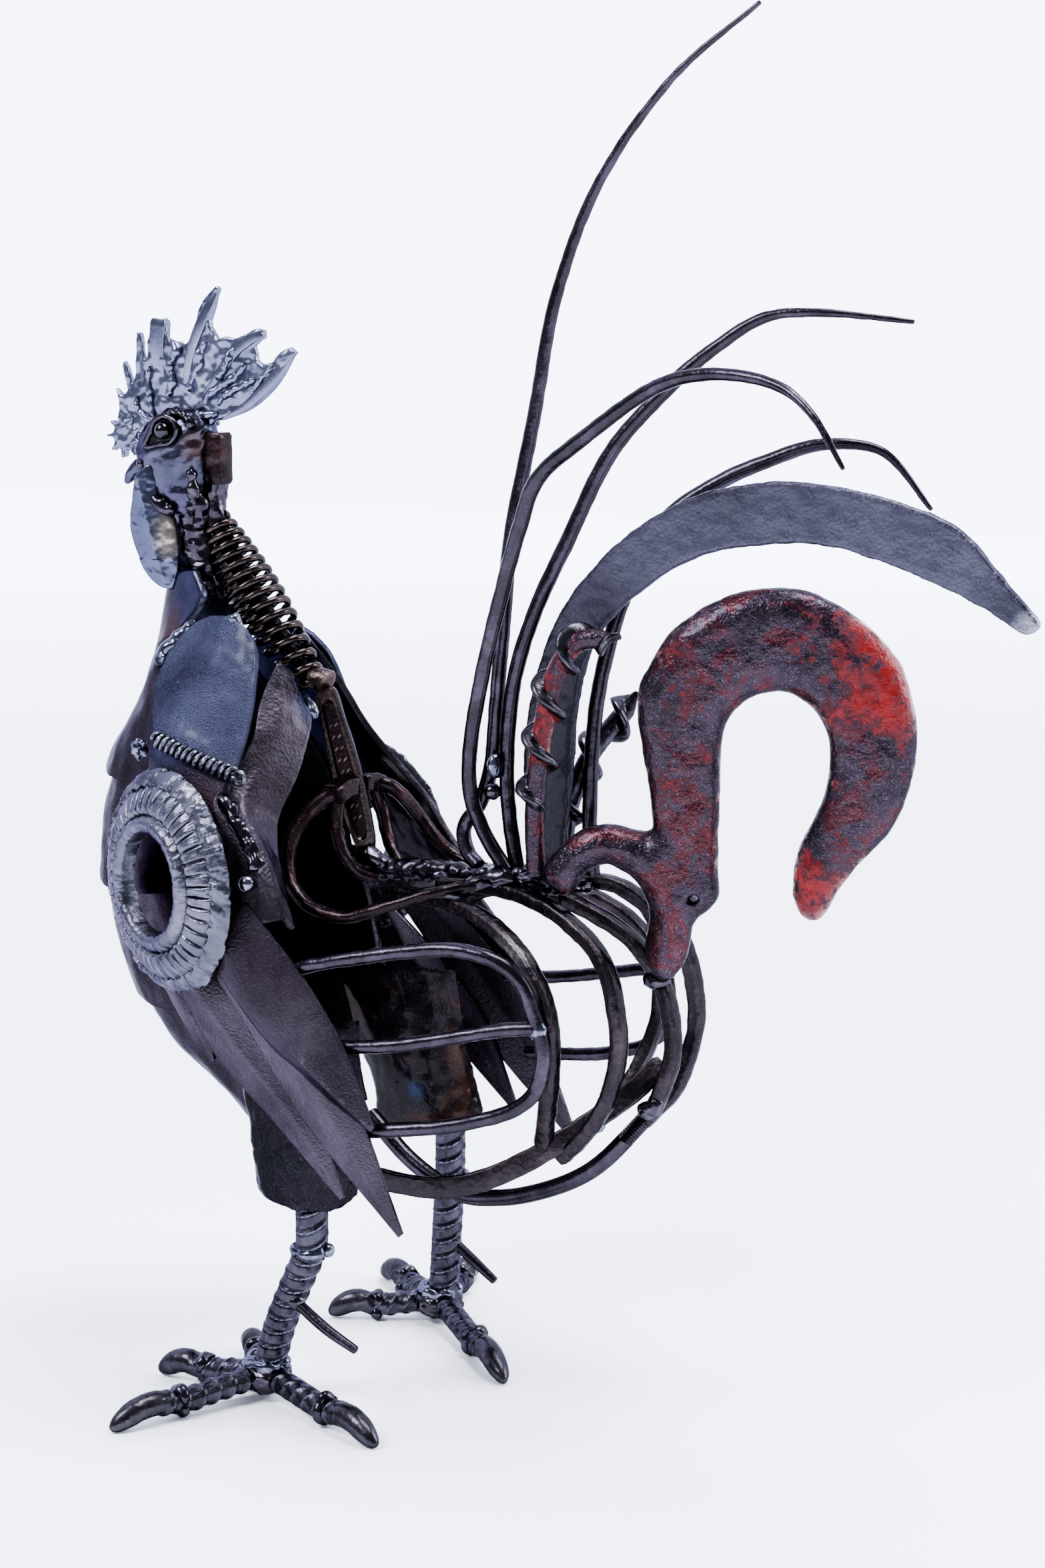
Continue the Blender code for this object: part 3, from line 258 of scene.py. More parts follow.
def sheet(rows, thickness, fine=(5, 5), dent=0.0, dents=60.0, ragged=0.0, bevel=0.0006, seed=0.0,
          folded=False, coats=()):
    """A bent sheet through rows of pose points, hammered by dent and ragged along its edges.

    Two coats give its faces and its cut edges.
    """
    wide = [(straight_path if folded else smooth_path)(row, fine[1]) for row in rows]
    columns = [smooth_path(column, fine[0]) for column in zip(*wide)]
    grid = [list(row) for row in zip(*columns)]
    count, width = len(grid), len(grid[0])
    places = [[at(*p) for p in row] for row in grid]
    shift = Vector((seed, -seed, seed * 0.5))
    bm = bmesh.new()
    made = []
    for i in range(count):
        line = []
        for j in range(width):
            here = places[i][j]
            down = places[min(i + 1, count - 1)][j] - places[max(i - 1, 0)][j]
            along = places[i][min(j + 1, width - 1)] - places[i][max(j - 1, 0)]
            normal = down.cross(along)
            normal = normal.normalized() if normal.length > 1e-12 else Vector((0, 0, 1))
            push = normal * dent * hammered(here * dents + shift)
            if ragged and (i in (0, count - 1) or j in (0, width - 1)):
                inward = places[count // 2][width // 2] - here
                push += inward.normalized() * ragged * (0.6 + noise.fractal(here * 240 + shift, 1, 2, 3))
            line.append(bm.verts.new(here + push))
        made.append(line)
    for low, high in zip(made, made[1:]):
        for j in range(width - 1):
            bm.faces.new((low[j], low[j + 1], high[j + 1], high[j]))
    bmesh.ops.recalc_face_normals(bm, faces=bm.faces)
    mesh = bpy.data.meshes.new("sheet")
    bm.to_mesh(mesh)
    bm.free()
    obj = link("sheet", mesh)
    thicken = obj.modifiers.new("thickness", "SOLIDIFY")
    thicken.thickness = thickness
    thicken.offset = 0
    for coat in coats:
        obj.data.materials.append(coat)
    if coats:
        thicken.material_offset_rim = 1
    edge = obj.modifiers.new("edge", "BEVEL")
    edge.width = bevel
    edge.segments = 2
    edge.limit_method = "ANGLE"
    edge.angle_limit = math.radians(50)
    return settle(obj)


def plate(outline, thickness, matrix, rounding=0.0005, holes=(), resolution=3):
    """A flat plate cut to an outline in metres, in the plane that the matrix gives."""
    curve = bpy.data.curves.new("plate", "CURVE")
    curve.dimensions = "2D"
    curve.fill_mode = "BOTH"
    curve.extrude = thickness / 2 - rounding
    curve.bevel_depth = rounding
    curve.bevel_resolution = resolution
    curve.offset = -rounding
    for loop in (outline, *holes):
        spline = curve.splines.new("POLY")
        spline.points.add(len(loop) - 1)
        spline.use_cyclic_u = True
        for point, (x, y) in zip(spline.points, loop):
            point.co = (x, y, 0, 1)
    obj = link("plate", curve)
    obj.matrix_world = matrix
    return turned_out(settle(obj))


def standing_frame(origin, yaw=0.0):
    """A frame for an upright plate: its x runs level, its y up and its z sideways."""
    ahead = Vector((math.cos(yaw), math.sin(yaw), 0))
    up = Vector((0, 0, 1))
    matrix = Matrix((ahead, up, ahead.cross(up))).transposed().to_4x4()
    matrix.translation = origin
    return matrix


def median_outline(points):
    """Pose points of the bird's middle plane, for a plate in median_frame."""
    return [(at(x, 0, z).x, z / 1000) for x, z in points]


def median_frame(sideways):
    return standing_frame(Vector((0, at(0, sideways, 0).y, 0)))


def remeshed(obj, voxel, smooth=0):
    """Even small faces all over, which displacement can then move."""
    step = obj.modifiers.new("voxels", "REMESH")
    step.mode = "VOXEL"
    step.voxel_size = voxel
    if smooth:
        relax = obj.modifiers.new("relax", "SMOOTH")
        relax.factor = 0.5
        relax.iterations = smooth
    return settle(obj)


def hammered(place):
    """Round dents side by side, from 0 at their rims to -1 in their middles."""
    return min(0.0, noise.voronoi(place)[0][0] * 1.5 - 1)


def roughen(obj, amount, scale, detail=3, seed=0.0, dents=0.0, dent_scale=200.0):
    """Moves points along their normals by layered noise and, if asked, by small round dents."""
    shift = Vector((seed, seed * 0.7, -seed))
    vertices = obj.data.vertices
    normals = [v.normal.copy() for v in vertices]
    for vertex, normal in zip(vertices, normals):
        push = amount * noise.fractal(vertex.co * scale + shift, 1.0, 2.0, detail)
        if dents:
            push += dents * hammered(vertex.co * dent_scale + shift)
        vertex.co += normal * push
    return obj


def blob(centre, radius, scale=(1, 1, 1), seed=0.0, amount=0.12, level=3):
    """A lump of weld metal at a place in metres."""
    bm = bmesh.new()
    bmesh.ops.create_icosphere(bm, subdivisions=level, radius=1)
    for vertex in bm.verts:
        bump = 1 + amount * noise.fractal(vertex.co * 1.7 + Vector((seed, seed, -seed)), 1, 2, 3)
        vertex.co = Vector([c * s * radius * bump for c, s in zip(vertex.co, scale)]) + centre
    mesh = bpy.data.meshes.new("blob")
    bm.to_mesh(mesh)
    bm.free()
    return link("blob", mesh)


def bead_run(points, radius, seed=0.0, spacing=1.1):
    """One uneven, lumpy bead of weld metal along pose points."""

    def lumps(run, angle, total):
        place = Vector((run / radius / 1.6 / spacing, seed, 1.7))
        around = Vector((math.cos(angle) * 0.9 + seed, math.sin(angle) * 0.9, run / radius * 0.8))
        ends = 0.5 * max(0.0, 1 - min(run, total - run) / radius)
        return radius * (0.50 * noise.noise(place) + 0.28 * noise.noise(around) - ends)

    drift = []
    for i, point in enumerate(points):
        stray = noise.noise_vector(Vector((i * 1.7, seed, 0.3)))
        drift.append(tuple(a + b * radius * 420 for a, b in zip(point, stray)))
    return tube(drift, radius, 18, radius * 0.22, lumps, 0.5)


def joined(objects):
    """Several meshes as one, each with its own materials."""
    whole = objects[0]
    if len(objects) > 1:
        with bpy.context.temp_override(
            active_object=whole, object=whole, selected_objects=objects,
            selected_editable_objects=objects,
        ):
            bpy.ops.object.join()
    return whole


def coated(obj, material):
    obj.data.materials.clear()
    obj.data.materials.append(material)
    return obj


def piece(name, objects, material, node, angle=38):
    """Puts finished meshes into the model as one piece that rides on the bird in place of a node."""
    for obj in objects:
        if not obj.data.materials:
            obj.data.materials.append(material)
    whole = joined(objects)
    whole.name = name
    whole.data.name = name
    whole.data.shade_smooth()
    whole.data.set_sharp_from_angle(angle=math.radians(angle))
    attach(whole, "root")
    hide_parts(node)


# Materials
class Nodes:
    """A material in the making: each call adds a node and gives its output."""

    def __init__(self, name):
        self.material = bpy.data.materials.new(name)
        self.material.use_nodes = True
        self.tree = self.material.node_tree
        self.shader = self.tree.nodes["Principled BSDF"]
        self.place = self.add("ShaderNodeTexCoord").outputs["Object"]

    def add(self, kind, **settings):
        node = self.tree.nodes.new(kind)
        for key, value in settings.items():
            setattr(node, key, value)
        return node

    def join(self, output, socket):
        self.tree.links.new(output, socket)

    def noise(self, scale, detail=4.0, roughness=0.55, distortion=0.0):
        node = self.add("ShaderNodeTexNoise")
        node.inputs["Scale"].default_value = scale
        node.inputs["Detail"].default_value = detail
        node.inputs["Roughness"].default_value = roughness
        node.inputs["Distortion"].default_value = distortion
        self.join(self.place, node.inputs["Vector"])
        return node.outputs["Fac"]

    def cells(self, scale):
        node = self.add("ShaderNodeTexVoronoi")
        node.inputs["Scale"].default_value = scale
        self.join(self.place, node.inputs["Vector"])
        return node.outputs["Distance"]

    def ramp(self, value, stops):
        """Colours along a value; each stop is (position, red, green, blue)."""
        node = self.add("ShaderNodeValToRGB")
        elements = node.color_ramp.elements
        while len(elements) < len(stops):
            elements.new(0.5)
        for element, (position, *colour) in zip(elements, stops):
            element.position = position
            element.color = (*colour, 1)
        self.join(value, node.inputs["Fac"])
        return node.outputs["Color"]

    def span(self, value, low, high, to_low, to_high):
        node = self.add("ShaderNodeMapRange")
        for name, number in zip(("From Min", "From Max", "To Min", "To Max"), (low, high, to_low, to_high)):
            node.inputs[name].default_value = number
        self.join(value, node.inputs["Value"])
        return node.outputs["Result"]

    def maths(self, operation, a, b):
        node = self.add("ShaderNodeMath", operation=operation)
        for socket, value in zip(node.inputs, (a, b)):
            if isinstance(value, (int, float)):
                socket.default_value = value
            else:
                self.join(value, socket)
        return node.outputs["Value"]

    def mix(self, share, a, b):
        node = self.add("ShaderNodeMix", data_type="RGBA")
        for socket, value in ((node.inputs[0], share), (node.inputs[6], a), (node.inputs[7], b)):
            if isinstance(value, tuple):
                socket.default_value = (*value, 1)
            elif isinstance(value, (int, float)):
                socket.default_value = value
            else:
                self.join(value, socket)
        return node.outputs[2]

    def near(self, centre, reach, soft=0.4, wobble=0.0, stretch=(1, 1, 1)):
        """1 within reach of a pose point and 0 beyond, with a broken rim where a wobble is given."""
        offset = self.add("ShaderNodeVectorMath", operation="SUBTRACT")
        self.join(self.place, offset.inputs[0])
        offset.inputs[1].default_value = at(*centre)
        scale = self.add("ShaderNodeVectorMath", operation="MULTIPLY")
        self.join(offset.outputs["Vector"], scale.inputs[0])
        scale.inputs[1].default_value = tuple(1 / s for s in stretch)
        length = self.add("ShaderNodeVectorMath", operation="LENGTH")
        self.join(scale.outputs["Vector"], length.inputs[0])
        distance = length.outputs["Value"]
        if wobble:
            distance = self.maths("ADD", distance, self.span(self.noise(3 / reach), 0, 1, -wobble, wobble))
        return self.span(distance, reach * (1 - soft), reach * (1 + soft), 1, 0)

    def hollow_shade_and_crest_wear(self, colour, low=0.40, high=0.50, depth=0.85, crest=0.0, shine=(0.20, 0.20, 0.26)):
        """Painted shade in the hollows of a finely meshed piece and, if asked, worn bright on its crests."""
        edge = self.add("ShaderNodeNewGeometry").outputs["Pointiness"]
        colour = self.mix(self.span(edge, low, high, depth, 0), colour, (0.003, 0.002, 0.004))
        if crest:
            colour = self.mix(self.span(edge, 0.53, 0.62, 0, crest), colour, shine)
        return colour

    def bump(self, *layers):
        """Layers of (height, relief in metres), finest last."""
        normal = None
        for height, relief in layers:
            node = self.add("ShaderNodeBump")
            node.inputs["Distance"].default_value = relief
            node.inputs["Strength"].default_value = 1.0
            self.join(height, node.inputs["Height"])
            if normal is not None:
                self.join(normal, node.inputs["Normal"])
            normal = node.outputs["Normal"]
        self.join(normal, self.shader.inputs["Normal"])

    def finish(self, colour, roughness, metallic=1.0, coat=0.0):
        self.join(colour, self.shader.inputs["Base Color"])
        self.join(roughness, self.shader.inputs["Roughness"])
        if isinstance(metallic, (int, float)):
            self.shader.inputs["Metallic"].default_value = metallic
        else:
            self.join(metallic, self.shader.inputs["Metallic"])
        # Scale dims what these metals mirror at a glancing angle.
        self.shader.inputs["Specular Tint"].default_value = (0.30, 0.28, 0.34, 1)
        self.shader.inputs["Coat Weight"].default_value = coat
        self.shader.inputs["Coat Roughness"].default_value = 0.12
        return self.material


def steel(name, stops, patch=28.0, rough=(0.22, 0.45), pits=0.00012, pit_scale=900.0, waves=0.0003,
          spark=0.12, coat=0.08, spots=(), hollow_shade_and_wear=None):
    """Lacquered scrap steel: patches of colour, bright specks, pits and a slight unevenness.

    Each spot is (pose point, reach, colour, strength, stretch). The last argument darkens the hollows as
    painted shade and, where asked, wears the crests bright.
    """
    n = Nodes(name)
    colour = n.ramp(n.noise(patch, 5, 0.6, 0.6), stops)
    streak = n.noise(patch * 5, 3, 0.6, 0.3)
    colour = n.mix(n.span(streak, 0.35, 0.75, 0, 0.28), colour, stops[0][1:])
    fleck = n.span(n.noise(1400, 2, 0.7), 0.60, 0.72, 0, spark)
    colour = n.mix(fleck, colour, WORN)
    for centre, reach, tint, strength, stretch in spots:
        share = n.near(centre, reach, 0.5, reach * 0.35, stretch)
        colour = n.mix(n.maths("MULTIPLY", share, strength), colour, tint)
    if hollow_shade_and_wear:
        colour = n.hollow_shade_and_crest_wear(colour, *hollow_shade_and_wear)
    roughness = n.span(n.noise(patch * 3, 4, 0.65), 0.3, 0.75, *rough)
    n.bump((n.noise(90, 3, 0.5), waves), (n.cells(pit_scale * 0.5), pits),
           (n.noise(pit_scale * 2, 3, 0.6), pits * 0.6))
    return n.finish(colour, roughness, 1.0, coat)


def spot(place, reach=0.010, tint=(0.018, 0.021, 0.045), strength=0.6, stretch=(1, 1, 1)):
    """A patch of another colour round a place; without a tint it has the blue of steel that a weld has
    heated.
    """
    return place, reach, tint, strength, stretch


def red_paint(name, bare_low, bare_high, places, hollow_shade_and_wear):
    """Old red paint, worn off in patches; each place (pose point, reach, gain) keeps more or less of it."""
    n = Nodes(name)
    under = n.ramp(n.noise(60, 5, 0.6, 0.5), (
        (0.3, 0.008, 0.005, 0.008), (0.5, 0.018, 0.012, 0.018), (0.60, 0.034, 0.006, 0.008),
        (0.8, 0.036, 0.028, 0.038),
    ))
    under = n.mix(n.span(n.noise(1100, 3, 0.7), 0.56, 0.7, 0, 0.4), under, (0.13, 0.12, 0.15))
    red = n.ramp(n.noise(90, 5, 0.65), (
        (0.3, 0.050, 0.002, 0.002), (0.6, 0.125, 0.003, 0.003), (0.85, 0.21, 0.006, 0.005),
    ))
    worn = n.noise(55, 13, 0.86)
    for centre, reach, gain in places:
        worn = n.maths("SUBTRACT", worn, n.maths("MULTIPLY", n.near(centre, reach, 0.7), gain))
    share = n.span(worn, bare_low, bare_high, 0, 1)
    colour = n.mix(share, red, under)
    # Painted shade darkens the hollows, and the crests may be worn bright.
    if hollow_shade_and_wear:
        colour = n.hollow_shade_and_crest_wear(colour, *hollow_shade_and_wear)
    n.shader.inputs["Specular IOR Level"].default_value = 0.3
    roughness = n.span(n.noise(150, 4, 0.6), 0.3, 0.7, 0.22, 0.38)
    n.bump((share, 0.00015), (n.noise(420, 3, 0.5), 0.0006), (n.cells(900), 0.00015))
    return n.finish(colour, roughness, n.span(share, 0, 1, 0.1, 0.95), 0.06)


def eye_glass():
    n = Nodes("eye_gloss")
    colour = n.ramp(n.noise(160, 4, 0.6), (
        (0.3, 0.006, 0.006, 0.009), (0.55, 0.012, 0.012, 0.018), (0.8, 0.03, 0.03, 0.045),
    ))
    n.bump((n.noise(500, 3, 0.6), 0.00008))
    return n.finish(colour, n.span(n.noise(260), 0.3, 0.7, 0.08, 0.2), 1.0, 0.3)


# Materials given a hollow setting below have painted shade in their hollows.
WORN = (0.20, 0.20, 0.25)
# Near black: painted shade for the dark body seen through the holes of the shoulder wheels.
PAINTED_HOLE_SHADE = (0.002, 0.002, 0.003)
BARE = (
    (0.28, 0.026, 0.028, 0.046), (0.46, 0.042, 0.045, 0.074), (0.62, 0.078, 0.083, 0.130),
    (0.8, 0.044, 0.038, 0.048),
)
sheet_steel = steel("sheet_steel", (
    (0.30, 0.008, 0.006, 0.008), (0.5, 0.018, 0.014, 0.018), (0.66, 0.033, 0.027, 0.035),
    (0.8, 0.032, 0.020, 0.016),
), 26, (0.26, 0.42), 0.0002, 1100, 0.0004, coat=0.04, spots=(
    spot((-104, -12, 356), 0.009), spot((-136, -34, 402)),
    # The two near-black spots on the breast behind the wheels' holes are painted shade.
    spot((-140, -52, 270), 0.028, PAINTED_HOLE_SHADE, 0.95), spot((-140, 52, 270), 0.028, PAINTED_HOLE_SHADE, 0.95),
))
neck_steel = steel("neck_steel", (
    (0.30, 0.009, 0.009, 0.017), (0.5, 0.018, 0.019, 0.034), (0.68, 0.029, 0.031, 0.054),
    (0.82, 0.022, 0.016, 0.024),
), 24, (0.24, 0.38), 0.00022, 2200, 0.0002, spots=(
    spot((-140, -70, 312), 0.017, (0.016, 0.009, 0.011), 0.9, (2.2, 2, 1)),
))
blade_steel = steel("blade_steel", (
    (0.30, 0.013, 0.009, 0.013), (0.5, 0.027, 0.021, 0.028), (0.66, 0.044, 0.035, 0.047),
    (0.8, 0.040, 0.025, 0.024),
), 18, (0.24, 0.38), 0.00022, 1500, coat=0.05)
rod_steel = steel("rod_steel", (
    (0.30, 0.006, 0.005, 0.007), (0.5, 0.014, 0.011, 0.016), (0.66, 0.028, 0.023, 0.034),
    (0.8, 0.022, 0.014, 0.013),
), 40, (0.2, 0.34), waves=0.0002, coat=0.12)
thigh_steel = steel("thigh_steel", (
    (0.3, 0.002, 0.002, 0.003), (0.55, 0.005, 0.004, 0.006), (0.8, 0.011, 0.009, 0.013),
), 30, (0.16, 0.3), 0.0004, 620, 0.0005, coat=0.04)
pitted_steel = steel("pitted_steel", (
    (0.3, 0.020, 0.019, 0.028), (0.55, 0.036, 0.034, 0.050), (0.8, 0.052, 0.047, 0.064),
), 16, (0.24, 0.36), 0.00030, 1100, 0.0002, spots=(
    spot((26, 6, 345), 0.060, (0.009, 0.008, 0.012), 0.85, (1, 1, 1.3)),
    spot((277, 8, 418), 0.007, WORN, 0.7, (1, 1, 0.8)),
))
throat_steel = steel("throat_steel", (
    (0.28, 0.009, 0.009, 0.016), (0.5, 0.022, 0.023, 0.040), (0.72, 0.040, 0.040, 0.066),
), 30, (0.2, 0.36), waves=0.0004, spots=(spot((-186, -22, 392), 0.011, (0.045, 0.024, 0.016), 0.7),))
skull_steel = steel("skull_steel", (
    (0.28, 0.012, 0.012, 0.020), (0.46, 0.024, 0.024, 0.040), (0.62, 0.042, 0.042, 0.068),
    (0.8, 0.034, 0.024, 0.026),
), 36, (0.20, 0.32), 0.0001, 700, 0.0002, 0.06, 0.1, (
    spot((-176, -14, 488), 0.008, (0.040, 0.018, 0.010), 0.8),
    spot((-190, -15, 458), 0.010, (0.028, 0.020, 0.050), 0.5),
), (0.34, 0.47, 0.5))
comb_steel = steel("comb_steel", (
    (0.28, 0.060, 0.062, 0.096), (0.46, 0.085, 0.090, 0.140), (0.62, 0.14, 0.145, 0.21),
    (0.8, 0.10, 0.080, 0.092),
), 24, (0.22, 0.32), 0.00002, waves=0.0001, spark=0.0, coat=0.1, hollow_shade_and_wear=(0.30, 0.45, 0.35))
wattle_steels = {
    side: steel(name, BARE, 14, (0.2, 0.30), 0.00003, waves=0.00008, spark=0.05, spots=spots)
    for side, name, spots in ((LEFT, "wattle_steel", (
        spot((-194, -14, 441), 0.008, (0.34, 0.29, 0.22), 0.8, (0.8, 3, 1.3)),
        spot((-212, -14, 440), 0.016, (0.034, 0.039, 0.070), 0.8, (0.7, 3, 1.8)),
    )), (RIGHT, "wattle_steel_far", ()))
}
rebar_steel = steel("rebar_steel", (
    (0.28, 0.008, 0.008, 0.011), (0.46, 0.020, 0.019, 0.026), (0.62, 0.036, 0.035, 0.046),
    (0.8, 0.026, 0.020, 0.020),
), 70, (0.2, 0.38), 0.00015, waves=0.0002, spark=0.18, hollow_shade_and_wear=(0.40, 0.495, 0.9, 0.8, (0.20, 0.20, 0.26)))
claw_steel = steel("claw_steel", (
    (0.3, 0.010, 0.009, 0.011), (0.55, 0.026, 0.023, 0.029), (0.8, 0.052, 0.047, 0.056),
), 90, (0.22, 0.4), 0.0001, spark=0.2)
cast_iron = steel("cast_iron", (
    (0.28, 0.032, 0.032, 0.042), (0.5, 0.066, 0.065, 0.085), (0.72, 0.105, 0.104, 0.134),
    (0.85, 0.070, 0.055, 0.052),
), 45, (0.22, 0.4), 0.00025, 620, 0.0005, hollow_shade_and_wear=(0.40, 0.50, 0.96), spots=(
    spot((-128, -92, 312), 0.0028, (0.34, 0.035, 0.02), 0.9),
    spot((-116, -84, 276), 0.0025, (0.30, 0.03, 0.02), 0.8),
    spot((-160, -78, 290), 0.0030, (0.28, 0.03, 0.02), 0.7, (1, 1, 0.6)),
))
brown_steel = steel("brown_steel", (
    (0.25, 0.004, 0.002, 0.003), (0.5, 0.010, 0.005, 0.006), (0.68, 0.022, 0.011, 0.011),
    (0.85, 0.015, 0.013, 0.018),
), 45, (0.22, 0.42), 0.0002)
spanner_steel = steel("spanner_steel", (
    (0.3, 0.016, 0.010, 0.008), (0.55, 0.040, 0.026, 0.021), (0.8, 0.080, 0.062, 0.056),
), 45, (0.2, 0.4), 0.0002, waves=0.0002, hollow_shade_and_wear=(0.40, 0.497, 0.9, 0.5, (0.13, 0.10, 0.09)))
rust_steel = steel("rust_steel", (
    (0.25, 0.002, 0.002, 0.003), (0.50, 0.006, 0.004, 0.005), (0.60, 0.020, 0.008, 0.005),
    (0.75, 0.007, 0.007, 0.012),
), 30, (0.28, 0.5), 0.0003, 700, 0.0005, spots=(spot((-84, 50, 136), 0.005, (0.012, 0.020, 0.045), 0.7),))
spring_steel = steel("spring_steel", (
    (0.25, 0.005, 0.004, 0.004), (0.48, 0.016, 0.010, 0.009), (0.7, 0.040, 0.027, 0.023),
    (0.85, 0.030, 0.027, 0.033),
), 120, (0.14, 0.28), 0.0001, waves=0.0001, coat=0.15)
rib_steel = steel("rib_steel", (
    (0.28, 0.005, 0.004, 0.005), (0.48, 0.011, 0.008, 0.010), (0.68, 0.026, 0.019, 0.021),
    (0.85, 0.022, 0.022, 0.030),
), 38, (0.22, 0.42), 0.0004, 600, 0.0006, spots=(
    spot((45, -50, 252), 0.010, (0.12, 0.11, 0.11), 0.5, (1.4, 1, 0.7)),
))
weld_steel = steel("weld_steel", (
    (0.28, 0.016, 0.018, 0.034), (0.5, 0.062, 0.065, 0.100), (0.68, 0.18, 0.18, 0.23),
    (0.85, 0.06, 0.042, 0.036),
), 110, (0.12, 0.24), 0.00008, spark=0.1, coat=0.15)
dark_weld = steel("dark_weld", (
    (0.28, 0.007, 0.006, 0.009), (0.5, 0.022, 0.018, 0.026), (0.68, 0.060, 0.052, 0.070),
    (0.85, 0.036, 0.022, 0.018),
), 110, (0.12, 0.26), 0.00008, spark=0.08, coat=0.15)
eye_gloss = eye_glass()
hook_paint = red_paint("hook_paint", 0.42, 0.47, (
    ((204, 28, 396), 0.036, 0.13), ((168, 14, 278), 0.022, 0.08), ((60, -14, 300), 0.030, -0.25),
    # The place at the pin hole strips the red, so the hole shows dark as painted shade.
    ((98, 0, 246), 0.020, -0.12), ((112, 2, 276), 0.0045, -0.5), ((150, 8, 392), 0.035, -0.06),
    ((195, 24, 335), 0.022, -0.09),
), (0.42, 0.495, 0.6, 0.2, (0.16, 0.12, 0.15)))
auger_paint = red_paint("auger_paint", 0.48, 0.54, (
    ((31, -16, 290), 0.030, -0.35), ((78, -16, 403), 0.016, -0.3),
), None)


# The head
def skull():
    """The weld-textured block of the head, with runs of weld down its sides."""
    sections = (
        (448, -182, 9, 7), (456, -190, 16, 12), (468, -196, 21, 14), (482, -197, 23, 15),
        (494, -195, 22, 14), (501, -192, 17, 10), (506, -190, 11, 5),
    )
    rings = []
    for z, x, long_radius, wide_radius in smooth_path(sections, 8):
        ring = []
        for k in range(64):
            a, b = math.cos(TURN * k / 64), math.sin(TURN * k / 64)
            a = math.copysign(abs(a) ** 0.78, a)
            b = math.copysign(abs(b) ** 0.78, b)
            ring.append(at(x + long_radius * a, wide_radius * b, z))
        rings.append(ring)
    block = roughen(skin(rings), 0.0010, 150, 3, 3.0, 0.0010, 260)
    lumps = [
        coated(bead_run([(x, y * side, z) for x, y, z in line], radius, seed * side), dark_weld)
        for side in (LEFT, RIGHT)
        for radius, seed, line in (
            (0.0030, 2.0, ((-178, 13.5, 475), (-177, 13, 466), (-179, 11.5, 456), (-182, 9, 451))),
            (0.0034, 5.0, ((-205, 12, 460), (-198, 13, 456), (-191, 11, 453))),
            (0.0026, 8.0, ((-214, 8, 484), (-212, 11, 476), (-207, 13.5, 470))),
            (0.0022, 11.0, ((-178, 11, 497), (-185, 11.5, 503), (-195, 10, 504))),
        )
    ]
    piece("skull_block", [block] + lumps, skull_steel, "skull")


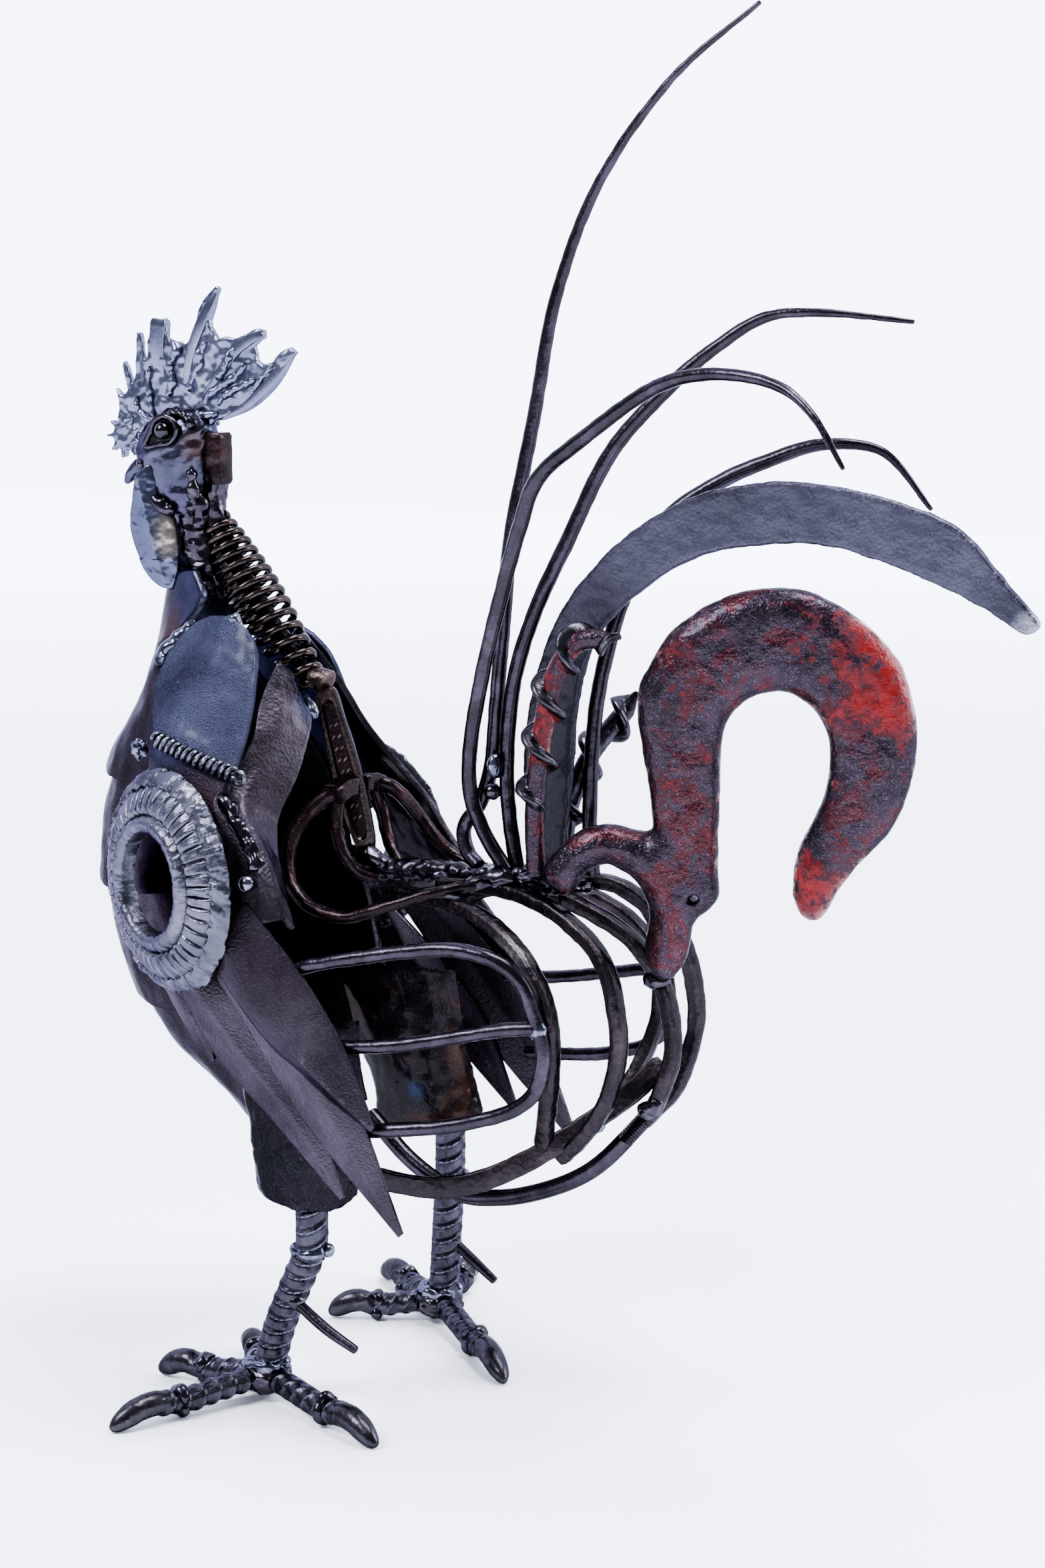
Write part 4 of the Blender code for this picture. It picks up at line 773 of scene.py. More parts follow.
def comb():
    """Cut spikes fanned over the crown, the web between them filled with weld metal."""
    outline = (
        (-168, 501), (-159, 504), (-149, 509), (-140, 515), (-134, 523), (-127, 528), (-119, 536),
        (-123, 539), (-129, 536), (-134, 531), (-139, 529), (-144, 532), (-145, 539), (-139, 543),
        (-139, 547), (-144, 548), (-151, 545), (-158, 543), (-162, 544), (-168, 542), (-173, 549),
        (-174, 554), (-170, 561), (-167, 568), (-169, 570), (-174, 566), (-179, 559), (-183, 550),
        (-185, 544), (-189, 540), (-194, 539), (-201, 543), (-202, 553), (-210, 553), (-213, 545),
        (-214, 532), (-216, 531), (-218, 545), (-221, 546), (-222, 529), (-224, 516), (-229, 531),
        (-231, 530), (-228, 515), (-231, 512), (-236, 516), (-234, 508), (-234, 498), (-222, 492),
        (-205, 496), (-190, 497), (-178, 495),
    )
    web = plate(median_outline(outline), 0.0040, median_frame(0), 0.0003)
    web = roughen(remeshed(web, 0.0007, 3), 0.0009, 150, 2, 2.0)
    broad = rounded_box(0.0064, 0.0096, 0.0006)
    cut = rounded_box(0.0062, 0.0058, 0.0007)
    slim = rounded_box(0.0042, 0.0032, 0.0006)
    spikes = (
        (broad, ((-206, 552.5, 1), (-207, 540, 0.95), (-206.5, 525, 0.7), (-205, 508, 0.35))),
        (cut, ((-168, 568, 0.25), (-174, 558, 0.9), (-181, 545, 1.05), (-187, 530, 0.85), (-191, 508, 0.4))),
        (cut, ((-140.5, 545.5, 0.8), (-148, 542, 1), (-157, 536, 1.05), (-166, 526, 0.85), (-184, 506, 0.4))),
        (cut, ((-120.5, 537, 0.4), (-130, 526, 0.9), (-139, 517, 1), (-151, 508, 0.8), (-168, 501, 0.4))),
        (slim, ((-219.5, 545, 0.5), (-218, 530, 0.9), (-217, 517, 1), (-216, 504, 1))),
        (slim, ((-230, 530, 0.5), (-227, 519, 0.9), (-225, 508, 1))),
        (slim, ((-235.5, 515, 0.5), (-232, 510, 0.9), (-228, 502, 1))),
    )
    bars = [bar([(x, 0, z, scale) for x, z, scale in line], section, (0, 1, 0)) for section, line in spikes]
    welds = (
        (0.0020, ((-157, 539), (-160, 533), (-164, 527), (-168, 521))),
        (0.0017, ((-144, 522), (-151, 519), (-158, 516), (-165, 512), (-168, 508))),
        (0.0021, ((-198, 541), (-194, 536), (-199, 529), (-197, 521), (-200, 512))),
        (0.0019, ((-175, 541), (-179, 535), (-179, 529), (-184, 523), (-187, 515))),
        (0.0018, ((-150, 530), (-154, 525), (-161, 521), (-172, 514), (-178, 508))),
        (0.0015, ((-212, 528), (-213, 518), (-212, 508), (-210, 500))),
        (0.0016, ((-222, 512), (-220, 505), (-214, 500), (-206, 499))),
        (0.0022, ((-200, 503), (-192, 502), (-184, 502), (-176, 503), (-168, 504))),
        (0.0014, ((-133, 529), (-139, 524), (-146, 516))),
    )
    runs = [
        bead_run([(x, 2.6 * side * 0.9, z) for x, z in line], radius * 1.15, 3.0 * i + side, 1.5)
        for side in (LEFT, RIGHT) for i, (radius, line) in enumerate(welds)
    ]
    centre = at(-230, 0, 491)
    count, tip = 9, 0.012
    teeth = []
    for i in range(count):
        for share, reach in ((0, 0.62), (0.32, 0.70), (0.46, 1.0), (0.62, 0.98), (0.72, 0.68)):
            angle = TURN * (i + share) / count
            teeth.append((centre.x + tip * reach * math.cos(angle), centre.z + tip * reach * math.sin(angle)))
    rowel = roughen(remeshed(plate(teeth, 0.0056, median_frame(0), 0.0004), 0.0006, 1), 0.0003, 300)
    piece("comb_fan", [web, rowel] + bars + runs, comb_steel, "comb")


def beak():
    points = (
        (-212, 0, 476, 1.1), (-220, 0, 476, 1.05), (-225, 0, 473, 0.95), (-229, 0, 468.5, 0.75),
        (-231.5, 0, 465.5, 0.34),
    )
    horn = roughen(tube(points, 0.0038, 18, 0.0009), 0.0003, 300, 3)
    piece("beak_horn", [horn], skull_steel, "beak")


def eyes():
    outline = (
        (-186, 495), (-188, 500.5), (-194, 502.5), (-200, 500),
        (-203, 494), (-206.5, 486.5), (-198, 487.5), (-190, 489),
    )
    for side in (LEFT, RIGHT):
        eyeball = coated(blob(at(-194, 16 * side, 495), 0.0046, seed=side, amount=0.02, level=4), eye_gloss)
        ring = hoop([(x, 15.2 * side, z) for x, z in outline], 0.0014)
        back = plate(median_outline(outline), 0.0022, median_frame(13.6 * side), 0.0004)
        parts = [roughen(ring, 0.0002, 300), eyeball, coated(back, thigh_steel)]
        piece(f"eye_{NAMES[side]}_ball_and_ring", parts, dark_weld, f"eye_{NAMES[side]}")


def wattles():
    outline = (
        (-207, 477), (-214, 469), (-217, 459), (-220, 447), (-219, 438), (-213, 424), (-205, 415),
        (-198, 412), (-190, 412), (-188, 418), (-188, 432), (-191, 448), (-199, 456), (-202, 474),
    )
    for side in (LEFT, RIGHT):
        loop = smooth_path(outline, 4, closed=True)
        blank = plate(median_outline(loop), 0.0052, median_frame(12.5 * side), 0.0016, resolution=5)
        blank = remeshed(blank, 0.0007, 4)
        for vertex in blank.data.vertices:
            # Two ground facets meet along the blade, and the lower tip is cut flatter.
            x, _, z = posed(vertex.co)
            ridge = abs(x + 203 + (z - 440) * 0.28)
            vertex.co.y += side * (0.0016 - 0.00022 * ridge if z > 427 else 0.0004 - 0.0001 * ridge)
        roughen(blank, 0.0003, 160, 3, side)
        piece(f"wattle_{NAMES[side]}_drop", [blank], wattle_steels[side], f"wattle_{NAMES[side]}")


def nape():
    """The square block behind the head, its post and the column of weld under the skull."""
    line = [(-170.5, 0, z) for z in (494, 480, 467)]
    block = bar(line, rounded_box(0.0126, 0.0118, 0.0022, 2), (0, 1, 0))
    post = tube([(-173, 0, 472), (-174, 0, 460), (-172, 0, 444)], 0.0062, 24)
    sections = ((456, -186, 11, 8), (438, -187, 12, 8.5), (421, -182, 13, 8), (408, -178, 12, 6.5))
    turns = [TURN * k / 40 for k in range(40)]
    rings = [
        [at(x + wide * math.cos(turn), deep * math.sin(turn), z) for turn in turns]
        for z, x, wide, deep in smooth_path(sections, 14)
    ]
    column = roughen(skin(rings), 0.0014, 150, 3, 5.0, 0.0009, 240)
    lumps = [
        bead_run([(-180, -7, 463), (-176, -8, 456), (-177, -7, 449), (-181, -6, 443)], 0.0040, 31.0),
        bead_run([(-180, 7, 463), (-176, 8, 456), (-178, 7, 449)], 0.0038, 35.0),
    ]
    block = roughen(block, 0.0003, 260)
    welded = [roughen(post, 0.0010, 220, 3, 7.0, 0.0008, 260), column] + lumps
    piece("nape_block", [block] + [coated(part, dark_weld) for part in welded], brown_steel, "nape_bar", 30)


# The neck
def neck():
    """The rod up the neck and the coil spring round it, widest in its middle."""
    axis = ((-172, 0, 448), (-157, 0, 422), (-137, 0, 395), (-111, 0, 364))
    core = roughen(tube(axis, 0.0048, 18), 0.0005, 200)
    # The rod takes the near-black thigh steel, as painted shade inside the coil.
    piece("neck_rod", [core], thigh_steel, "neck_core")
    line = smooth_path(axis, 60)
    turns, fine, wire, sides = 15, 26, 0.0021, 12
    lean = math.radians(37)
    middles, places = [], []
    for i in range(turns * fine + 1):
        share = i / (turns * fine)
        x, y, z = line[round(share * (len(line) - 1))]
        radius = 5.8 + 7.6 * math.sin(math.pi * share)
        angle = TURN * i / fine
        middles.append(at(x, y, z))
        places.append(at(x + radius * math.cos(angle) * math.cos(lean), y + radius * math.sin(angle),
                         z + radius * math.cos(angle) * math.sin(lean)))
    rings = []
    for i, place in enumerate(places):
        ahead = (places[min(i + 1, len(places) - 1)] - places[max(i - 1, 0)]).normalized()
        across = (middles[i] - place).normalized()
        across = (across - ahead * across.dot(ahead)).normalized()
        above = ahead.cross(across)
        rings.append([
            place + (across * math.cos(TURN * k / sides) + above * math.sin(TURN * k / sides)) * wire
            for k in range(sides)
        ])
    piece("neck_coil", [skin(rings)], spring_steel, "neck_spring")


def neck_plates():
    rows = (
        ((-176, -62, 300), (-146, -74, 298), (-117, -80, 296)),
        ((-170, -62, 338), (-142, -66, 332), (-115, -66, 326)),
        ((-176, -52, 360), (-144, -58, 350), (-113, -57, 348)),
        ((-173, -42, 382), (-143, -48, 375), (-114, -49, 367)),
        ((-162, -35, 396), (-139, -40, 392), (-118, -41, 386)),
        ((-152, -33, 401), (-139, -36, 402), (-127, -37, 397)),
    )
    strip = ((-165, -67, 341), (-138, -71, 334), (-111, -71, 327))
    shifts = {LEFT: (0, 0, 0), RIGHT: (-11, 1, -11)}
    teeth_count = 14
    for side, shift in shifts.items():
        own_rows = [moved(mirrored(row, side), shift) for row in rows]
        back = sheet(own_rows, SHEET, (8, 14), 0.0003, 150, seed=side)
        line = moved(mirrored(strip, side), shift)
        spine = tube(line, 0.0024, 12)
        found, total = sampled(line, 0.0005)
        coil = []
        for place, run, _ in found:
            # Slanted teeth run round the strip like the turns of a coil.
            angle = TURN * run / total * teeth_count
            x, y, z = posed(place)
            around, out = math.sin(angle), math.cos(angle)
            coil.append((x + 2.2 * around * 0.5, y + side * 2.4 * out, z + 3.1 * around))
        teeth = tube(coil, 0.0013, 8, 0.0010)
        x, y, z = moved(mirrored([(-109, -71.5, 326)], side), shift)[0]
        eye = hoop([(a, y, b) for a, b in circle(x, z, 3.2, 10)], 0.0012, 8, 3)
        beads = []
        if side == LEFT:
            edge = ((-163, -32, 398), (-168, -34, 392), (-172, -37, 388), (-175, -40, 384), (-177, -43, 380),
                    (-176, -46, 374))
            beads = [
                bead_run(edge, 0.0040, 4.0, 1.35), blob(at(-183, -57, 333), 0.0042, (1, 0.8, 1.2), 3, 0.5),
                bead_run(((-140, -37, 403), (-135, -36, 401), (-131, -36, 397)), 0.0030, 7.0),
            ]
        parts = [back, coated(spine, thigh_steel), coated(teeth, rebar_steel), coated(eye, rebar_steel)]
        parts += [coated(bead, weld_steel) for bead in beads]
        piece(f"neck_plate_{NAMES[side]}_sheet", parts, neck_steel, f"neck_plate_{NAMES[side]}")


def shoulder_plates():
    left = (
        ((-120, -21, 377), (-118, -19, 378), (-115, -17, 374)),
        ((-121, -28, 369), (-117, -24, 368), (-110, -16, 363)),
        ((-120, -38, 357), (-112, -29, 355), (-104, -15, 350)),
        ((-116, -50, 342), (-109, -38, 341), (-101, -23, 338)),
        ((-118, -64, 327), (-110, -56, 325), (-99, -37, 320)),
        ((-121, -76, 314), (-109, -70, 313), (-98, -52, 306)),
        ((-116, -81, 302), (-100, -76, 303), (-94, -62, 295)),
        ((-107, -85, 287), (-88, -80, 290), (-88, -69, 283)),
        ((-98, -88, 271), (-79, -84, 275), (-79, -77, 270)),
        ((-87, -90, 256), (-72, -87, 260), (-69, -84, 255)),
    )
    right = (
        ((-148, 36, 386), (-141, 28, 391), (-135, 22, 388)),
        ((-144, 48, 362), (-128, 38, 366), (-116, 30, 363)),
        ((-138, 59, 338), (-118, 49, 338), (-102, 40, 335)),
        ((-126, 66, 308), (-100, 58, 306), (-75, 50, 302)),
        ((-122, 74, 286), (-94, 66, 282), (-66, 58, 282)),
        ((-108, 78, 262), (-84, 71, 262), (-57, 62, 266)),
    )
    for side, rows, fine in ((LEFT, left, (6, 12)), (RIGHT, right, (9, 14))):
        blank = sheet(rows, 0.0035, fine, 0.0004, 130, seed=side * 2, ragged=0.0006, folded=side == LEFT)
        parts = [blank]
        if side == LEFT:
            edge = ((-108, -13, 361), (-105, -12, 355), (-103, -12, 349))
            parts.append(coated(bead_run(edge, 0.0030, 9.0), weld_steel))
            parts.append(coated(blob(at(-92, -90, 277), 0.0043, amount=0.03, level=4), weld_steel))
            # A molten, pitted seam runs down the fold of the plate.
            seam = ((-117, -73, 318), (-111, -77, 309), (-103, -79, 301), (-96, -81, 292), (-91, -84, 283))
            for shift, radius in (((0, -1, 0), 0.0034), ((4, 0, -3), 0.0030)):
                parts.append(coated(bead_run(moved(seam, shift), radius, 11.0 + radius * 900), dark_weld))
        piece(f"shoulder_plate_{NAMES[side]}_sheet", parts, sheet_steel, f"shoulder_plate_{NAMES[side]}")


# The breast
# The hull of the breast: height, front, middle and half width, all in pose millimetres.
BODY = (
    (425, -197, -190, 12), (405, -199, -188, 15), (380, -205, -180, 24), (350, -214, -166, 36),
    (320, -231, -157, 47), (290, -237, -151, 52), (255, -238, -148, 52), (225, -231, -142, 50),
    (195, -218, -134, 45), (170, -200, -124, 40), (148, -163, -114, 33), (124, -133, -104, 27),
)


def body_point(angle, z, lift):
    """A point on the hull, lifted off it; the angle runs from the front round to the left."""
    rows = sorted(BODY)
    z_in = min(max(z, rows[0][0]), rows[-1][0])
    for low, high in zip(rows, rows[1:]):
        if z_in <= high[0]:
            share = (z_in - low[0]) / (high[0] - low[0])
            _, front, middle, half = (a + (b - a) * share for a, b in zip(low, high))
            break
    turn = math.radians(angle)
    return (middle - (middle - front + lift) * math.cos(turn), -(half + lift) * math.sin(turn), z)


def breast_sheet(name, node, first, last, low, high, droop, seed):
    """One of the overlapping plates, between two angles and two heights, drooping in its middle."""
    tall, wide = 6, 10
    rows = []
    for v in range(tall + 1):
        down = v / tall
        row = []
        for u in range(wide + 1):
            across = u / wide
            bulge = 1 - (2 * across - 1) ** 2
            z = high + (low - droop * bulge - high) * down
            row.append(body_point(first + (last - first) * across, z, 6.0 * down))
        rows.append(row)
    blank = sheet(rows, 0.0040, (4, 5), 0.0009, 75, 0.0004, 0.0008, seed)
    piece(name, [blank], sheet_steel, node)


def breast():
    throat = (
        ((-171, -20, 423), (-186, -13, 421), (-196, -6, 420), (-198, 0, 420)),
        ((-162, -26, 409), (-184, -18, 406), (-198, -9, 404), (-201, 0, 403)),
        ((-176, -27, 392), (-190, -22, 385), (-202, -12, 378), (-206, 0, 375)),
    )
    whole = [list(row) + mirrored(row[-2::-1], RIGHT) for row in throat]
    piece("throat_sheet", [sheet(whole, 0.0044, (8, 7), 0.0004, 90)], throat_steel, "throat_plate")
    levels = (("upper", 322, 386, 92, 92), ("middle", 262, 330, 88, 104), ("lower", 200, 270, 94, 112))
    for side in (LEFT, RIGHT):
        for i, (level, low, high, left_end, right_end) in enumerate(levels):
            name = f"breast_plate_{level}_{NAMES[side]}"
            end = left_end if side == LEFT else right_end
            breast_sheet(name + "_sheet", name, -side * 1.5, -side * end, low, high, 10, i * 3 + side)
    breast_sheet("belly_plate_sheet", "belly_plate", -95, 95, 132, 208, 8, 9)


# The wings
def shoulder_discs():
    """Cast wheels: a rounded collar, a groove, fine flutes and a knobbly rim."""
    centres = {LEFT: (-146, -80, 271), RIGHT: (-148, 77, 268)}
    profile = (
        (26.0, 12.0), (26.2, 14.2), (27.4, 15.8), (29.6, 16.6), (31.8, 16.4), (33.6, 15.2), (34.6, 13.4),
        (35.4, 12.6), (36.4, 13.4), (38.0, 13.6), (40.5, 13.2), (43.0, 12.2), (45.5, 10.8), (47.6, 9.4),
        (48.6, 8.2), (49.4, 7.6), (50.6, 8.0), (52.4, 7.2), (54.6, 5.4), (56.4, 3.6), (57.7, 2.2),
        (58.0, 1.4), (57.0, 0.4), (53.0, 0.0), (49.0, 3.0), (43.5, 6.5), (36.0, 8.0), (30.0, 7.0),
        (26.4, 6.4), (25.8, 8.4),
    )
    count = 528
    for side, centre in centres.items():
        rings = []
        for i in range(count):
            angle = TURN * i / count
            ring = []
            for j, (reach, height) in enumerate(profile):
                if 8 <= j <= 14:
                    # Rounded blocks of uneven width stand between narrow grooves.
                    beat = math.cos(angle * 44 + 0.9 * math.sin(angle * 7) + 0.6 * math.sin(angle * 3))
                    ends = min(1.0, (j - 7) / 2, (15 - j) / 2)
                    height += ends * (0.5 - 1.9 * max(0.0, beat) ** 5)
                if 16 <= j <= 20:
                    curl = math.sin(angle * 30 + 2.2 * math.sin(angle * 5) + j * 1.1)
                    height += 1.3 * (curl * math.cos(angle * 12 + j * 0.8))
                    reach += 0.9 * math.sin(angle * 24 + j) * math.cos(angle * 7)
                if j >= 20:
                    reach += 0.8 * noise.noise(Vector((angle * 5, side, j * 0.2)))
                ring.append(Vector((reach * math.cos(angle), reach * math.sin(angle), height)) / 1000)
            rings.append(ring)
        wheel = turned_out(skin(rings, closed=True))
        yaw = math.radians(22)
        outward = Vector((-math.sin(yaw), side * math.cos(yaw), 0))
        up = Vector((0, 0, 1))
        matrix = Matrix((up.cross(outward), up, outward)).transposed().to_4x4()
        matrix.translation = at(*centre)
        wheel.data.transform(matrix)
        roughen(wheel, 0.0005, 260, 4, side)
        piece(f"shoulder_wheel_{NAMES[side]}", [wheel], cast_iron, f"shoulder_disc_{NAMES[side]}", 55)


def wing_blades():
    """Four long cut blades a side, each folded along its middle."""
    fold = 4.0
    blades = (
        (
            ((-116, -93, 240), (-108, -94.5, 250), (-93, -90, 268)),
            ((-84, -92, 203), (-76, -94.5, 212), (-61, -90, 236)),
            ((-52, -92, 180), (-46, -94, 186), (-36, -90, 203)),
            ((-18, -92, 161), (-17, -92.5, 162), (-16, -92, 163)),
        ),
        (
            ((-126, -89, 242), (-117, -89, 247), (-108, -89, 252)),
            ((-100, -89, 212), (-86, -89, 219), (-72, -89, 226)),
            ((-62, -89, 162), (-48, -89, 172), (-34, -89, 182)),
            ((-4, -89, 108), (-3, -89, 109), (-2, -89, 110)),
        ),
        (
            ((-141, -85, 219), (-132, -86, 226), (-123, -86.5, 232)),
            ((-114, -86.5, 184), (-102, -86.5, 194), (-92, -86.5, 206)),
            ((-80, -86.5, 156), (-70, -86.5, 164), (-60, -86.5, 172)),
            ((-40, -86.5, 121), (-39, -86.5, 122), (-38, -86.5, 123)),
        ),
        (
            ((-163, -74, 224), (-152, -79, 230), (-140, -83, 234)),
            ((-142, -79, 200), (-134, -82, 206), (-126, -84, 212)),
            ((-120, -83.9, 180), (-119, -83.9, 181), (-118, -83.9, 182)),
        ),
    )
    for side in (LEFT, RIGHT):
        for number, rows in enumerate(blades, start=1):
            name = f"wing_blade_{number}_{NAMES[side]}"
            bent = [(a, (x, y - fold, z), b) for a, (x, y, z), b in rows[:-1]] + [rows[-1]]
            blank = sheet([mirrored(row, side) for row in bent], 0.0022, (12, 8), 0.0002, 90, 0.0004, 0.0004,
                          number * 3 + side, True, (blade_steel, claw_steel))
            piece(name + "_sheet", [blank], blade_steel, name)


def wing_forks():
    bend = (
        (59, -68, 226), (63, -67, 213), (64, -67, 200), (60, -68, 186), (52, -70, 178),
        (40, -72, 172), (12, -77, 164), (-32, -85, 157),
    )
    tops = {
        LEFT: (
            (-74, -85, 232), (-53, -85, 240), (-12, -79, 249), (15, -75, 253), (32, -73, 252),
            (44, -71, 248), (54, -69, 239),
        ),
        RIGHT: (
            (-74, -85, 238), (-53, -85, 246), (-12, -79, 255), (15, -75, 259), (32, -73, 258),
            (44, -71, 253), (54, -69, 242),
        ),
    }
    middle = ((-46, -85, 198), (-11, -81, 203), (20, -75, 210), (45, -71, 216), (61, -68, 218))
    for side, top in tops.items():
        bow = tube(mirrored(top + bend, side), FORK_WIRE, 16)
        tine = tube(mirrored(middle, side), 0.0035, 16)
        joint = blob(at(61.5, 67.5 * side, 217), 0.0046, (1.1, 0.8, 1.2), side)
        for rod in (bow, tine):
            roughen(rod, 0.0003, 150, 3, side)
        parts = [bow, tine, coated(joint, weld_steel)]
        piece(f"wing_fork_{NAMES[side]}_tines", parts, rod_steel, f"wing_fork_{NAMES[side]}")


# The back
def wrench():
    """A flat spanner with a raised rim round a sunk panel that carries rows of shallow strokes."""
    top, foot = at(-103, -2, 363), at(-78, -2, 281)
    length = (top - foot).length
    half, stroke_rows = 0.00775, 9
    outline = smooth_path((
        (-0.55 * half, 0), (0.55 * half, 0), (0.9 * half, 0.2 * length), (half, 0.5 * length),
        (0.8 * half, 0.85 * length), (0.6 * half, length), (-0.6 * half, length),
        (-0.8 * half, 0.85 * length), (-half, 0.5 * length), (-0.9 * half, 0.2 * length),
    ), 5, closed=True)
    up = (top - foot).normalized()
    face = Vector((0.30, -0.95, 0))
    face = (face - up * face.dot(up)).normalized()
    matrix = Matrix((up.cross(face), up, face)).transposed().to_4x4()
    matrix.translation = foot
    middle = length / 2

    def ring(wide, tall, height):
        return [Vector((x * wide, middle + (y - middle) * tall, height)) for x, y in outline]

    # Each step is a share of the width, a share of the length and a height in millimetres.
    steps = (
        (0.50, 0.80, 1.5), (0.56, 0.83, 2.8), (0.62, 0.845, 3.4), (0.80, 0.93, 3.4), (0.94, 0.975, 2.8),
        (1.0, 1.0, 1.4),
    )
    rings = [ring(w, t, h / 1000) for w, t, h in steps] + [ring(w, t, -h / 1000) for w, t, h in steps[::-1]]
    body = turned_out(skin(rings))
    for coat in (brown_steel, spanner_steel):
        body.data.materials.append(coat)
    for face in body.data.polygons:
        face.material_index = int(abs(face.center.z) > 0.0026 and len(face.vertices) < 5)
    body.data.transform(matrix)
    strokes = []
    for way in (1, -1):
        for i in range(stroke_rows):
            y = length * (0.2 + 0.072 * i)
            for j in range(2):
                section = ((-0.0013, 0), (0.0013, 0), (0.0010, 0.0008), (-0.0010, 0.0008))
                stroke = skin([
                    [
                        Vector((x + (j - 0.5) * 0.0032, y + dy + x * 0.6, way * (0.0014 + h)))
                        for x, h in section
                    ]
                    for dy in (-0.0005, 0.0005)
                ])
                stroke.data.transform(matrix)
                strokes.append(turned_out(stroke))
    collar = roughen(tube([(-110, -2, 367), (-106, -2, 368), (-101, -2, 366)], 0.0066, 18), 0.0006, 200)
    lump = bead_run([(-81, -8, 283), (-76, -8, 279), (-70, -7, 277), (-64, -4, 276)], 0.0050, 3.0)
    parts = [roughen(body, 0.0002, 150), collar, coated(lump, dark_weld)] + strokes
    piece("spanner", parts, spanner_steel, "back_wrench", 30)


def handles():
    """Bent rods, as on tin snips: an outer bow and a short inner arm from a square root."""
    left_bow = (
        (-86, -17, 312, 1.45), (-92, -22, 309, 1.45), (-98, -31, 300, 1.4), (-100, -40, 290, 1.4),
        (-97, -47, 277, 1.3), (-89, -52, 266, 1.25), (-75, -55, 259, 1.2), (-57, -55, 257, 1.1),
        (-38, -52, 263, 1.0), (-10, -42, 273, 0.9), (2, -26, 274, 0.85),
    )
    left_arm = (
        (-86, -17, 308, 1.4), (-86, -19, 294, 1.4), (-81, -19, 280, 1.3), (-76, -14, 271, 1.2),
        (-68, -8, 267, 1.1),
    )
    right_bow = (
        (-86, 17, 312, 1.4), (-78, 20, 311, 1.35), (-73, 28, 303, 1.3), (-69, 36, 292, 1.25),
        (-62, 40, 281, 1.2), (-50, 42, 272, 1.1), (-30, 40, 268, 1.0), (-8, 34, 270, 0.9), (2, 24, 273, 0.85),
    )
    right_arm = (
        (-86, 17, 311, 1.4), (-83, 19, 301, 1.35), (-79, 18, 288, 1.3), (-73, 14, 279, 1.2),
        (-64, 9, 272, 1.1),
    )
    for side, bow, arm in ((LEFT, left_bow, left_arm), (RIGHT, right_bow, right_arm)):
        root = ((-86, 4 * side, 314), (-86, 12 * side, 314), (-86, 22 * side, 311))
        parts = [
            bar(root, rounded_box(0.0122, 0.0098, 0.0018), (1, 0, 0)),
            tube(bow, 0.0030, 18), tube(arm, 0.0028, 18),
        ]
        for part in parts:
            roughen(part, 0.0004, 180, 3, side)
        piece(f"handle_{NAMES[side]}_bow", parts, brown_steel, f"handle_{NAMES[side]}")


def back_bar():
    """The rough bar along the back under its crust of weld lumps."""
    points = (
        (-78, 0, 271, 1.25), (-60, 0, 272, 1), (-22, 0, 273, 1), (0, 0, 273, 1.4), (22, 0, 273, 1.6),
        (40, 0, 271, 1.5),
    )
    places = (
        (-4, -6, 277, 6.0), (6, 3, 279, 6.4), (14, -8, 276, 5.6), (24, 5, 277, 6.6), (34, -6, 274, 6.0),
        (28, -16, 281, 5.0), (43, 12, 272, 5.4), (2, 12, 273, 5.2), (-14, 6, 274, 4.6), (-30, -5, 272, 4.8),
        (-46, 4, 272, 4.6), (20, 18, 273, 5.0),
    )
    body = roughen(tube(points, 0.0056, 28, 0.0010), 0.0018, 120, 4)
    lumps = [
        blob(at(x, y, z - 1), radius / 1000, (1.4, 1.1, 0.7), i * 1.7, 0.35)
        for i, (x, y, z, radius) in enumerate(places)
    ]
    lumps.append(bead_run([(-10, -20, 270), (4, -14, 276), (18, -12, 278)], 0.0046, 21.0, 1.5))
    for i, lump in enumerate(lumps):
        coated(lump, weld_steel if i % 6 == 1 else dark_weld)
    piece("back_bar_and_welds", [body] + lumps, rod_steel, "back_bar")


def ribs():
    """Bent rake tines round the rear."""
    outer = (
        (-62, -13, 262), (-40, -24, 265), (-8, -34, 266), (20, -44, 261), (41, -52, 251),
        (56, -57, 236), (63, -58, 216), (63, -57, 197), (58, -51, 176), (48, -38, 151),
    )
    inner = (
        (-30, -8, 269), (8, -13, 271), (38, -20, 267), (62, -26, 257), (79, -31, 242),
        (87, -34, 218), (87, -33, 198), (79, -30, 174), (64, -26, 153), (50, -22, 139),
    )
    centre = (
        (32, 0, 268), (56, 0, 261), (78, 0, 249), (94, 0, 230), (100, 0, 206), (99, 0, 189), (92, 0, 169),
        (86, 0, 158),
    )
    far = (
        (0, 10, 270), (30, 16, 273), (56, 21, 272), (73, 28, 260), (88, 34, 243),
        (93, 39, 216), (93, 38, 194), (87, 30, 168), (74, 18, 150),
    )
    routes = {
        "rib_left_outer": outer, "rib_left_inner": inner, "rib_middle": centre, "rib_right_inner": far,
        "rib_right_outer": mirrored(outer, RIGHT),
    }
    for i, (name, points) in enumerate(routes.items()):
        tine = bar(points, rounded_box(0.0094, 0.0075, 0.0022), (0, 1, 0))
        piece(name + "_tine", [roughen(tine, 0.0005, 120, 4, i)], rib_steel, name)


